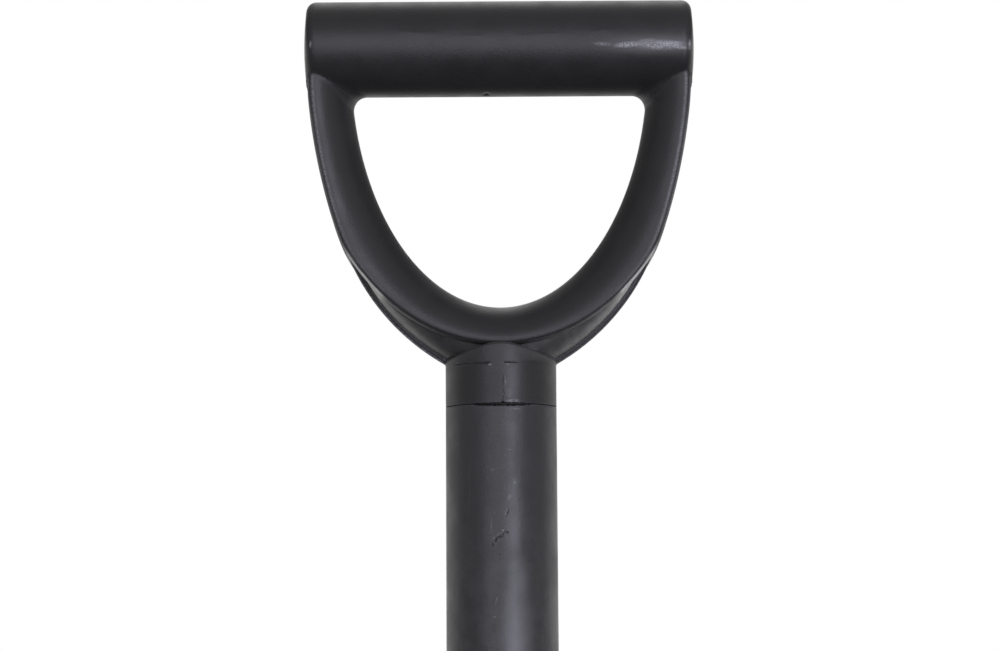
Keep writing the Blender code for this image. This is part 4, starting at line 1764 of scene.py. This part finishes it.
@dataclass(frozen=True)
class CoatedSteel:
    """Pressed steel under a baked graphite coat: satin, faintly pitted, worn bright where soil rubs it."""

    name: str
    coat: str = "#2B2D2F"
    coat_light: str = "#383A3D"
    steel: str = "#9B9A97"
    steel_dark: str = "#7A7875"
    soil: str = "#54483C"
    roughness: Range = (0.41, 0.54)
    pits: float = 0.9 * MILLIMETRE  # the coat's orange peel
    scratches: Point = (0.7 * MILLIMETRE, 0.7 * MILLIMETRE, 26 * MILLIMETRE)
    cloud: float = 28 * MILLIMETRE
    patch: float = 5 * MILLIMETRE
    scored: Range = (0.50, 0.72)  # the scratches' noise at which they reach the steel
    scored_most: float = 1.2
    patch_share: float = 0.9
    cover: float = 0.45  # how much the coat withstands
    bare: Range = (0.46, 0.60)  # the sum at which it breaks through
    fine: Range = (0.60, 0.70)  # the noise of the fine rubbed lines
    fine_most: float = 0.35
    fine_colour: str = "#6D6E70"
    soiled: Range = (0.42, 0.66)  # the noise of the soil
    soiled_most: float = 0.45
    little_worn: float = 0.08
    well_worn: float = 0.35
    fine_least: float = 0.25  # how much of the lines shows on a new coat
    soil_least: float = 0.05
    bare_gloss: float = 0.12
    soil_roughness: float = 0.3
    score_height: float = 3.0  # of the relief
    coat_depth: float = 3.0
    relief: float = 0.015 * MILLIMETRE

    def build(self) -> Material:
        """Makes the material: coat, rubbed lines, soil, and bare steel where the wear breaks through.

        Returns:
            The material.
        """
        material, add, place = new_material(self.name)
        cloudy = add("TexNoise", {"Vector": place, "Scale": 1 / self.cloud, "Detail": 5.0})
        patchy = add("TexNoise", {"Vector": place, "Scale": 1 / self.patch, "Detail": 6.0})
        peel = add("TexNoise", {"Vector": place, "Scale": 1 / self.pits})
        scratches = streaks(add, place, self.scratches, 3.0)
        worn = add("Attribute", attribute_name="worn").outputs["Fac"]

        # The coat breaks through where wear, a patch and the scratches add up.
        scored = add("MapRange", (scratches, *self.scored, 0.0, self.scored_most), **SMOOTH)
        scored = add("Math", (scored, worn, -self.cover), **TIMES_PLUS)
        level = add("Math", (patchy, self.patch_share, scored), **TIMES_PLUS)
        level = add("Math", (level, worn))
        bare = add("MapRange", (level, *self.bare), **SMOOTH)

        # Rubbed lines and soil are faint where the coat is new, and full where it is well worn.
        fine = add("MapRange", (scratches, *self.fine, 0.0, self.fine_most), **SMOOTH)
        used = add("MapRange", (worn, 0.0, self.well_worn, self.fine_least, 1.0), **SMOOTH)
        rubbed = add("Math", (fine, used), **TIMES)
        dirty = add("MapRange", (cloudy, *self.soiled), **SMOOTH)
        stops = (self.little_worn, self.well_worn, self.soil_least, self.soiled_most)
        soiled = add("Math", (dirty, add("MapRange", (worn, *stops), **SMOOTH)), **TIMES)

        lines = add("MapRange", (scratches, *NOISE_CORE), **SMOOTH)
        steel = add("Mix", {0: lines, 6: self.steel_dark, 7: self.steel}, **COLOUR)
        tone = add("Mix", {0: cloudy, 6: self.coat, 7: self.coat_light}, **COLOUR)
        tone = add("Mix", {0: rubbed, 6: tone, 7: self.fine_colour}, **COLOUR)
        tone = add("Mix", {0: soiled, 6: tone, 7: self.soil}, **COLOUR)
        tone = add("Mix", {0: bare, 6: tone, 7: steel}, **COLOUR)

        rough = add("MapRange", (cloudy, *NOISE_SPREAD, *self.roughness), **SMOOTH)
        rough = add("Math", (bare, -self.bare_gloss, rough), **TIMES_PLUS)
        rough = add("Math", (soiled, self.soil_roughness, rough), **TIMES_PLUS)
        cuts = add("Math", (scratches, worn), **TIMES)
        height = add("Math", (cuts, self.score_height, peel), **TIMES_PLUS)
        height = add("Math", (bare, -self.coat_depth, height), **TIMES_PLUS)
        shader = connect(material, (tone, rough, height), self.relief)
        material.node_tree.links.new(bare.outputs[0], shader.inputs["Metallic"])
        return material


@dataclass(frozen=True)
class PlainSteel:
    """Uncoated steel: grey and satin, with the pattern of its plating, and faint lines from its drawing."""

    name: str
    dark: str
    light: str
    roughness: Range
    pattern: float  # size of the plating's patches
    lines: Point
    patch_share: float = 0.4
    cloud_widths: float = 2.5  # patches to a cloud
    cloud_height: float = 0.5  # of the relief
    relief: float = 0.02 * MILLIMETRE

    def build(self) -> Material:
        """Makes the material.

        Returns:
            The material.
        """
        material, add, place = new_material(self.name)
        cells = add("TexVoronoi", {"Vector": place, "Scale": 1 / self.pattern}).outputs["Color"]
        cells = add("SeparateColor", (cells,))
        cloud = self.pattern * self.cloud_widths
        cloudy = add("TexNoise", {"Vector": place, "Scale": 1 / cloud, "Detail": 4.0})
        lines = streaks(add, place, self.lines)
        share = add("Mix", {0: self.patch_share, 2: cells, 3: cloudy})
        tone = add("Mix", {0: share, 6: self.dark, 7: self.light}, **COLOUR)
        rough = add("MapRange", (cloudy, *NOISE_SPREAD, *self.roughness), **SMOOTH)
        height = add("Math", (cloudy, self.cloud_height, lines), **TIMES_PLUS)
        connect(material, (tone, rough, height), self.relief).inputs["Metallic"].default_value = 1.0
        return material


@dataclass(frozen=True)
class TurnedBeech:
    """Beech dowel, turned and left raw: a pale brown grain along it with short darker flecks, quite matt."""

    name: str
    dark: str = "#A27A4E"
    light: str = "#C49C6E"
    fleck: str = "#7D5A38"
    grain: Point = (1.6 * MILLIMETRE, 1.6 * MILLIMETRE, 45 * MILLIMETRE)
    flecks: Point = (0.4 * MILLIMETRE, 0.4 * MILLIMETRE, 3 * MILLIMETRE)
    fleck_noise: Range = (0.60, 0.68)  # at which a fleck begins, and is full
    fleck_share: float = 0.5
    roughness: Range = (0.62, 0.52)
    relief: float = 0.05 * MILLIMETRE

    def build(self) -> Material:
        """Makes the material.

        Returns:
            The material.
        """
        material, add, place = new_material(self.name)
        grain = streaks(add, place, self.grain, 3.0)
        flecks = streaks(add, place, self.flecks)
        share = add("MapRange", (grain, *NOISE_SPREAD), **SMOOTH)
        tone = add("Mix", {0: share, 6: self.dark, 7: self.light}, **COLOUR)
        spots = add("MapRange", (flecks, *self.fleck_noise, 0.0, self.fleck_share), **SMOOTH)
        tone = add("Mix", {0: spots, 6: tone, 7: self.fleck}, **COLOUR)
        rough = add("MapRange", (grain, *NOISE_SPREAD, *self.roughness), **SMOOTH)
        connect(material, (tone, rough, add("Math", (grain, flecks))), self.relief)
        return material


def dress(piece: Piece, material: Material, slot: str, *nodes: str) -> None:
    """Gives a finished piece its material, and its place in the frame.

    Args:
        piece: The piece.
        material: Its finish.
        slot: Not used.
        *nodes: The CAD nodes that it stands for.
    """
    piece.data.materials.clear()
    piece.data.materials.append(material)
    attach(piece, "root")
    if nodes:
        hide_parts(*nodes)
    LOG.info("%s: %d faces, finish %s", piece.name, len(piece.data.polygons), material.name)


# The studio


@dataclass
class Lamp:
    """A softbox that faces the handle."""

    name: str
    azimuth: float  # degrees to the right of the camera
    height: float
    width: float
    drop: float  # the softbox's own height, top to bottom
    level: float  # brightness of its face, where white paper in full light is 1
    colour: str
    distance: float = 1.6

    def build(self) -> None:
        """Hangs the lamp."""
        light = bpy.data.lights.new(self.name, "AREA")
        light.shape = "RECTANGLE"
        light.size, light.size_y = self.width, self.drop
        light.energy = self.level * math.pi * self.width * self.drop
        light.color = linear(self.colour)[:3]
        lamp = bpy.data.objects.new(self.name, light)
        yaw = math.radians(self.azimuth)
        lamp.location = (self.distance * math.sin(yaw), -self.distance * math.cos(yaw), self.height)
        lamp.rotation_euler = (QUARTER_TURN, 0, yaw)
        bpy.context.scene.collection.objects.link(lamp)


@dataclass
class Studio:
    """A plain pale floor, a white sweep behind the object, softboxes, and the camera.

    A place in the room is a share of a unit way out from the object: aside, behind or up.
    """

    tip: float
    floor_gap: float = 0.001
    floor_size: float = 60.0
    floor_colour: str = "#E9E9E7"
    floor_roughness: float = 0.9
    floor_glow: float = 0.42  # to the camera alone
    front_rise: Range = (-0.5, 0.0)  # in front: dark below, and the room's own level above
    dark_level: float = 0.05
    room_level: float = 0.42
    wall: Range = (0.3, 0.9)  # the room's right side, in front
    wall_gain: float = 1.45
    bounce_rise: Range = (-0.85, -0.5)  # behind and below, where the sweep lies
    bounce_level: float = 0.95
    wings: Range = (0.15, 0.45)  # the bounce is weaker in the middle than to both sides
    middle_gain: float = 0.6
    wing_gain: float = 1.6
    floor_line: Range = (-0.35, 0.0)  # between the bounce and what is above it
    sides: Range = (0.35, 0.8)  # behind and above, from the ceiling to both sides
    ceiling_level: float = 0.48
    side_level: float = 0.12
    back: Range = (-0.2, 0.4)  # from the front to the back
    sweep: Range = (0.8, 1.0)  # straight behind
    sweep_level: float = 1.0
    strip: Range = (0.1, 0.3)  # a strip behind and above, which lights the grip's top edge
    strip_rise: Range = (0.03, 0.25)
    strip_back: Range = (0.3, 0.6)
    strip_level: float = 1.3
    flank: Range = (0.45, 0.75)  # a low band behind, to both sides, which lights the shaft's sides
    flank_rise: Range = (-0.15, -0.02)
    flank_fall: Range = (0.07, 0.21)
    flank_back: Range = (0.0, 0.35)
    flank_level: float = 1.35
    camera_distance: float = 1.6
    camera_pitch: float = math.radians(5.3)  # the camera looks up by this
    camera_roll: float = math.radians(-0.35)
    aim_x: float = -0.0004
    aim_z: float = -0.0959
    picture_width: int = 999
    pixel_scale: float = 2910.0  # pixels to a metre at the aim
    sensor: float = 36.0

    def light_room(self) -> None:
        """Makes the world: white to the camera, and a dim room with a white sweep to all other rays."""
        world = bpy.data.worlds.new("studio room")
        bpy.context.scene.world = world
        world.use_nodes = True
        tree = world.node_tree
        tree.nodes.clear()
        add = partial(add_node, tree)
        way = add("TexCoord").outputs["Generated"]
        right, back, up = add("SeparateXYZ", (way,)).outputs
        aside = add("Math", (right,), operation="ABSOLUTE")
        levels = (self.dark_level, self.room_level)
        front = add("MapRange", (up, *self.front_rise, *levels), **SMOOTH)
        wall = add("MapRange", (right, *self.wall, 1.0, self.wall_gain), **SMOOTH)
        front = add("Math", (front, wall), **TIMES)
        levels = (self.dark_level, self.bounce_level)
        below = add("MapRange", (up, *self.bounce_rise, *levels), **SMOOTH)
        wings = add("MapRange", (aside, *self.wings, self.middle_gain, self.wing_gain))
        below = add("Math", (below, wings), **TIMES)
        over = add("MapRange", (aside, *self.sides, self.ceiling_level, self.side_level))
        above_floor = add("MapRange", (up, *self.floor_line), **SMOOTH)
        rear = add("Mix", {0: above_floor, 2: below, 3: over})
        behind = add("MapRange", (back, *self.back), **SMOOTH)
        level = add("Mix", {0: behind, 2: front, 3: rear})
        sweep = add("MapRange", (back, *self.sweep), **SMOOTH)
        level = add("Mix", {0: sweep, 2: level, 3: self.sweep_level})
        strip = add("MapRange", (aside, *self.strip, self.strip_level, 0.0), **SMOOTH)
        high = add("MapRange", (up, *self.strip_rise), **SMOOTH)
        far = add("MapRange", (back, *self.strip_back), **SMOOTH)
        high = add("Math", (high, far), **TIMES)
        level = add("Math", (high, strip, level), **TIMES_PLUS)
        flank = add("MapRange", (aside, *self.flank, 0.0, self.flank_level), **SMOOTH)
        rise = add("MapRange", (up, *self.flank_rise), **SMOOTH)
        fall = add("MapRange", (up, *self.flank_fall, 1.0, 0.0), **SMOOTH)
        far = add("MapRange", (back, *self.flank_back), **SMOOTH)
        band = add("Math", (rise, fall), **TIMES)
        band = add("Math", (band, far), **TIMES)
        level = add("Math", (band, flank, level), **TIMES_PLUS)
        room = add("Background", {"Strength": level})
        white = add("Background", {"Color": "#FFFFFF", "Strength": 1.0})
        ray = add("LightPath").outputs
        mirrored = (ray["Is Glossy Ray"], ray["Is Transmission Ray"])
        mirrored = add("Math", mirrored, operation="MAXIMUM")
        shown = add("Math", (mirrored, sweep), **TIMES)
        share = add("Math", (ray["Is Camera Ray"], shown), operation="MAXIMUM")
        add("OutputWorld", {"Surface": add("MixShader", (share, room, white))})

    def lay_floor(self) -> None:
        """Lays the floor, just under the blade's tip."""
        deselect()
        bpy.ops.mesh.primitive_plane_add(size=self.floor_size, location=(0, 0, self.tip - self.floor_gap))
        floor = named("studio_floor")
        material = bpy.data.materials.new("pale floor paint")
        material.use_nodes = True
        tree = material.node_tree
        add = partial(add_node, tree)
        shader = tree.nodes["Principled BSDF"]
        shader.inputs["Base Color"].default_value = linear(self.floor_colour)
        shader.inputs["Roughness"].default_value = self.floor_roughness
        seen = add("LightPath").outputs["Is Camera Ray"]
        glow = add("Math", (seen, self.floor_glow), **TIMES)
        light = add("Emission", {"Color": self.floor_colour, "Strength": glow})
        both = add("AddShader", (shader, light))
        tree.links.new(first_output(both), tree.nodes["Material Output"].inputs["Surface"])
        floor.data.materials.append(material)
        floor.visible_glossy = False

    def place_camera(self) -> None:
        """Sets the camera where the photograph was taken from."""
        heading = Vector((0, math.cos(self.camera_pitch), math.sin(self.camera_pitch)))
        aim = Vector((self.aim_x, 0, self.aim_z))
        data = bpy.data.cameras.new("camera")
        data.sensor_width = self.sensor
        data.lens = self.sensor * self.camera_distance * self.pixel_scale / self.picture_width
        camera = bpy.data.objects.new("camera", data)
        camera.location = aim - heading * self.camera_distance
        camera.rotation_mode = "QUATERNION"
        level = heading.to_track_quat("-Z", "Y")
        camera.rotation_quaternion = level @ Quaternion((0, 0, 1), self.camera_roll)
        bpy.context.scene.collection.objects.link(camera)
        bpy.context.scene.camera = camera

    def build(self) -> None:
        """Sets up everything round the object."""
        bpy.context.scene.view_settings.view_transform = "Standard"
        self.light_room()
        self.lay_floor()
        self.place_camera()
        for lamp in (
            Lamp("broad_softbox", -15, height=0.32, width=1.16, drop=1.15, level=1.6, colour="#F1F0FF"),
            Lamp("strip_softbox", 22.5, height=0.10, width=0.60, drop=1.34, level=4.3, colour="#EEECFF"),
        ):
            lamp.build()


@dataclass(frozen=True)
class Levels:
    """Heights down the spade, and the tube's radii, from the sizes that the frame was built with."""

    roof_eaves: float = -0.10945  # where the fin runs out into the neck
    ridge: float = -0.1031
    neck_end: float = -0.12405
    gap: float = 0.0003
    sleeve_length: float = 0.487
    skirt_overlap: float = 0.020
    socket_depth: float = 0.102
    socket_neck: float = 0.038
    tube_radius: float = 0.0163
    tube_bore_radius: float = 0.0142
    rivet_drop: float = 0.045
    rivet_pitch: float = 0.035

    @property
    def sleeve_top(self) -> float:
        """The sleeve's upper rim."""
        return self.neck_end - self.gap

    @property
    def sleeve_bottom(self) -> float:
        """The skirt's lower rim."""
        return self.sleeve_top - self.sleeve_length

    @property
    def mouth(self) -> float:
        """The socket's mouth, inside the skirt."""
        return self.sleeve_bottom + self.skirt_overlap

    @property
    def floor(self) -> float:
        """The floor of the socket's bore."""
        return self.mouth - self.socket_depth

    @property
    def shoulder(self) -> float:
        """The blade's upper edge."""
        return self.floor - self.socket_neck

    @property
    def rivets(self) -> tuple[float, float]:
        """The upper and the lower rivet."""
        upper = self.mouth - self.rivet_drop
        return upper, upper - self.rivet_pitch


PAINTED_HIGHLIGHT, RUB_AND_HIGHLIGHT, PIT_AND_SHADE = MarkKind.PAINTED_HIGHLIGHT, MarkKind.RUB_AND_HIGHLIGHT, MarkKind.PIT_AND_SHADE
PALEST = "#A0A0A4"

GRIP_AND_NECK_MARKS = (
    # Worn patches along the grip's front, painted paler along its highlight band: part wear, part painted
    # highlight.
    Mark(PAINTED_HIGHLIGHT, (54.0, -16.4, -1.2), 4.4, 26.0, 90, 0.36),
    Mark(RUB_AND_HIGHLIGHT, (55.0, -16.4, -1.3), 2.1, 11.0, 91, 0.80, PALEST),
    Mark(RUB_AND_HIGHLIGHT, (59.0, -16.4, -1.0), 1.2, 5.0, 86, 1.00, PALEST),
    Mark(RUB_AND_HIGHLIGHT, (62.0, -16.3, -2.2), 0.9, 3.4, 96, 0.70, PALEST),
    Mark(RUB_AND_HIGHLIGHT, (44.0, -16.5, -1.2), 1.3, 6.0, 86, 0.90, PALEST),
    Mark(RUB_AND_HIGHLIGHT, (35.5, -16.5, -0.9), 0.9, 4.2, 94, 0.70),
    Mark(RUB_AND_HIGHLIGHT, (50.5, -16.5, 0.2), 0.9, 4.0, 84, 0.80),
    # painted highlights on the grip's rounded ends, right and left
    Mark(RUB_AND_HIGHLIGHT, (65.3, -15.5, -1.2), 0.6, 2.2, 4, 1.00, PALEST),
    Mark(RUB_AND_HIGHLIGHT, (-64.5, -16.0, -0.4), 0.6, 1.7, 2, 1.0),
    # painted highlight on the lit lower wall of the mould's groove
    Mark(RUB_AND_HIGHLIGHT, (-3.7, -18.6, -110.9), 0.9, 0.4, 0, 0.85),
    Mark(RUB_AND_HIGHLIGHT, (2.2, -18.8, -110.8), 0.3, 1.0, 90, 0.75),
    Mark(RUB_AND_HIGHLIGHT, (2.6, -18.7, -120.6), 1.4, 2.0, 0, 0.25),
    Mark(PIT_AND_SHADE, (15.9, -10.0, -110.2), 0.3, 0.3, 0, 0.8),
    Mark(PIT_AND_SHADE, (0.7, -19.0, -116.2), 0.22, 2.5, 2, 0.85),
    Mark(PIT_AND_SHADE, (0.9, -19.0, -120.3), 0.26, 1.2, -12, 0.7),
    Mark(PIT_AND_SHADE, (0.6, -19.0, -122.5), 0.36, 1.3, 10, 0.8),
    # a faint painted highlight over the neck's right side
    Mark(RUB_AND_HIGHLIGHT, (3.6, -18.6, -119.4), 3.0, 5.6, 0, 0.07),
    Mark(RUB_AND_HIGHLIGHT, (1.5, -18.9, -116.5), 0.4, 2.4, 0, 0.4),
    Mark(RUB_AND_HIGHLIGHT, (4.0, -18.5, -123.2), 0.7, 2.9, 88, 0.9),
    Mark(PIT_AND_SHADE, (-0.4, -18.9, -124.25), 11.5, 0.55, 0, 0.9),  # painted shade in the open joint
)

SLEEVE_MARKS = (
    # The first four marks are painted highlight along the sleeve's reflection band.
    Mark(PAINTED_HIGHLIGHT, (6.0, -18.0, -183.0), 5.5, 9.0, 0, 0.16),  # painted highlight along the sleeve's reflection band, lower down
    Mark(PAINTED_HIGHLIGHT, (5.2, -18.3, -205.0), 7.5, 34.0, 0, 0.36),
    Mark(PAINTED_HIGHLIGHT, (4.6, -18.4, -165.0), 6.5, 20.0, 0, 0.10),
    Mark(PAINTED_HIGHLIGHT, (4.2, -18.5, -232.0), 8.0, 60.0, 0, 0.26),
    Mark(PIT_AND_SHADE, (-0.4, -18.9, -124.6), 11.5, 0.75, 0, 0.95),  # painted shade in the open joint
    Mark(RUB_AND_HIGHLIGHT, (4.9, -18.3, -126.0), 0.4, 2.4, 90, 0.6),
    Mark(RUB_AND_HIGHLIGHT, (2.9, -18.8, -139.8), 0.35, 1.2, 84, 0.35),
    Mark(RUB_AND_HIGHLIGHT, (-2.9, -18.8, -146.7), 0.3, 1.0, 84, 0.55),
    Mark(RUB_AND_HIGHLIGHT, (4.5, -18.5, -150.9), 0.9, 1.2, 0, 0.50),
    Mark(RUB_AND_HIGHLIGHT, (2.7, -18.8, -155.8), 0.9, 1.7, 14, 0.42),
    Mark(RUB_AND_HIGHLIGHT, (1.5, -18.9, -161.2), 0.40, 1.8, 20, 0.75),
    Mark(PIT_AND_SHADE, (2.0, -18.9, -161.2), 0.32, 1.6, 22, 0.95),
    Mark(RUB_AND_HIGHLIGHT, (-0.9, -19.0, -169.6), 1.5, 3.8, 52, 0.30),
    Mark(PIT_AND_SHADE, (-0.6, -19.0, -169.7), 1.0, 2.9, 52, 0.50),
    Mark(PIT_AND_SHADE, (1.5, -19.0, -167.8), 0.5, 1.1, 110, 0.95),
    Mark(PIT_AND_SHADE, (0.3, -19.0, -168.9), 0.4, 0.9, 20, 0.85),
    Mark(PIT_AND_SHADE, (-0.9, -19.0, -169.4), 0.45, 1.0, 75, 0.9),
    Mark(PIT_AND_SHADE, (-2.0, -19.0, -170.5), 0.4, 1.1, 35, 0.9),
    Mark(PIT_AND_SHADE, (-3.2, -18.8, -172.0), 0.45, 0.9, 5, 0.85),
    Mark(RUB_AND_HIGHLIGHT, (0.3, -19.0, -167.2), 0.7, 0.35, 0, 0.9),
    Mark(RUB_AND_HIGHLIGHT, (-1.3, -19.0, -168.4), 0.3, 0.8, 60, 0.8),
    Mark(RUB_AND_HIGHLIGHT, (-2.8, -18.9, -169.7), 0.3, 0.7, 40, 0.6),
    Mark(PIT_AND_SHADE, (-1.0, -19.0, -175.6), 0.3, 0.3, 0, 0.6),
    Mark(PIT_AND_SHADE, (-0.7, -19.0, -176.9), 0.25, 0.3, 0, 0.6),
    Mark(RUB_AND_HIGHLIGHT, (-3.5, -18.7, -165.4), 0.4, 3.8, 0, 0.28),
    Mark(RUB_AND_HIGHLIGHT, (-2.1, -18.9, -191.1), 0.35, 2.2, 18, 0.5),
    Mark(RUB_AND_HIGHLIGHT, (-2.7, -18.9, -196.5), 0.45, 0.5, 0, 0.8),
    Mark(RUB_AND_HIGHLIGHT, (4.0, -18.6, -182.7), 0.3, 0.3, 0, 0.6),
)


def dress_handle(levels: Levels) -> None:
    """Builds the handle and gives it its plastic.

    Args:
        levels: The spade's heights.
    """
    grip = HandGrip()
    neck = Neck(levels.neck_end, levels.ridge, levels.tube_bore_radius, levels.tube_radius)
    loop = HandLoop(grip=grip, neck_radius=neck.radius, roof_eaves=levels.roof_eaves)
    finish = "moulded black polypropylene"
    plastic = MouldedPlastic(finish, "#222223", "#272728", (0.37, 0.45), GRIP_AND_NECK_MARKS)
    dress(MouldedHandle(grip, loop, neck).build(), plastic.build(), "handle_plastic", "d_handle")


def dress_shaft(levels: Levels) -> None:
    """Builds the sleeve, and finishes the tube, pin and plug inside it.

    Args:
        levels: The spade's heights.
    """
    finish = "extruded black polypropylene"
    plastic = ExtrudedPlastic(finish, "#2D2D2F", "#333335", (0.36, 0.45), SLEEVE_MARKS)
    sleeve = ShaftSleeve(top=levels.sleeve_top, bottom=levels.sleeve_bottom, mouth=levels.mouth).build()
    dress(sleeve, plastic.build(), "sleeve_plastic", "shaft_sleeve")
    up_lines = (0.4 * MILLIMETRE, 0.4 * MILLIMETRE, 30 * MILLIMETRE)
    side_lines = (12 * MILLIMETRE, 0.3 * MILLIMETRE, 0.3 * MILLIMETRE)
    tube, pin = "galvanised drawn steel tube", "drawn steel pin"
    hidden = {
        "shaft_core": PlainSteel(tube, "#868A8D", "#A6A9AB", (0.34, 0.48), 6 * MILLIMETRE, up_lines),
        "handle_pin": PlainSteel(pin, "#7E8082", "#999B9D", (0.28, 0.42), 3 * MILLIMETRE, side_lines),
        "bottom_plug": TurnedBeech("turned raw beech"),
    }
    for node, finish in hidden.items():
        material = finish.build()
        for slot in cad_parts[node].material_slots:
            slot.material = material
        LOG.info("%s: finish %s", node, material.name)


def dress_head(levels: Levels) -> None:
    """Builds the blade with its socket, the treads with their welds, and the rivets.

    Args:
        levels: The spade's heights.
    """
    coat = CoatedSteel("pressed steel with a baked graphite coat").build()
    head = SpadeHead(mouth=levels.mouth, floor=levels.floor, shoulder=levels.shoulder, rivets=levels.rivets)
    dress(head.build(), coat, "blade_coat", "blade")
    tread = FootTread(head)
    for side in Side:
        dress(tread.build(side), coat, "blade_coat", f"tread_{side.name.lower()}")
        for face in Face:
            dress(tread.bead(side, face), coat, "blade_coat")
    lines = (0.4 * MILLIMETRE, 6 * MILLIMETRE, 0.4 * MILLIMETRE)
    finish = "cold headed rivet steel"
    steel = PlainSteel(finish, "#6C6D6F", "#8E8F91", (0.36, 0.50), 2.5 * MILLIMETRE, lines).build()
    rivet = SocketRivet(seat=head.socket_radius + levels.gap)
    for name, height in zip(("upper", "lower"), levels.rivets):
        dress(rivet.build(f"socket_rivet_{name}", height), steel, "rivet_steel", f"rivet_{name}")


def main() -> None:
    """Builds the spade's visible pieces in order, and reports each one."""
    logging.basicConfig(level=logging.INFO, format="%(message)s")
    Studio(tip=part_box("blade")[0].z).build()
    levels = Levels()
    dress_handle(levels)
    dress_shaft(levels)
    dress_head(levels)


if __name__ == "__main__":
    main()
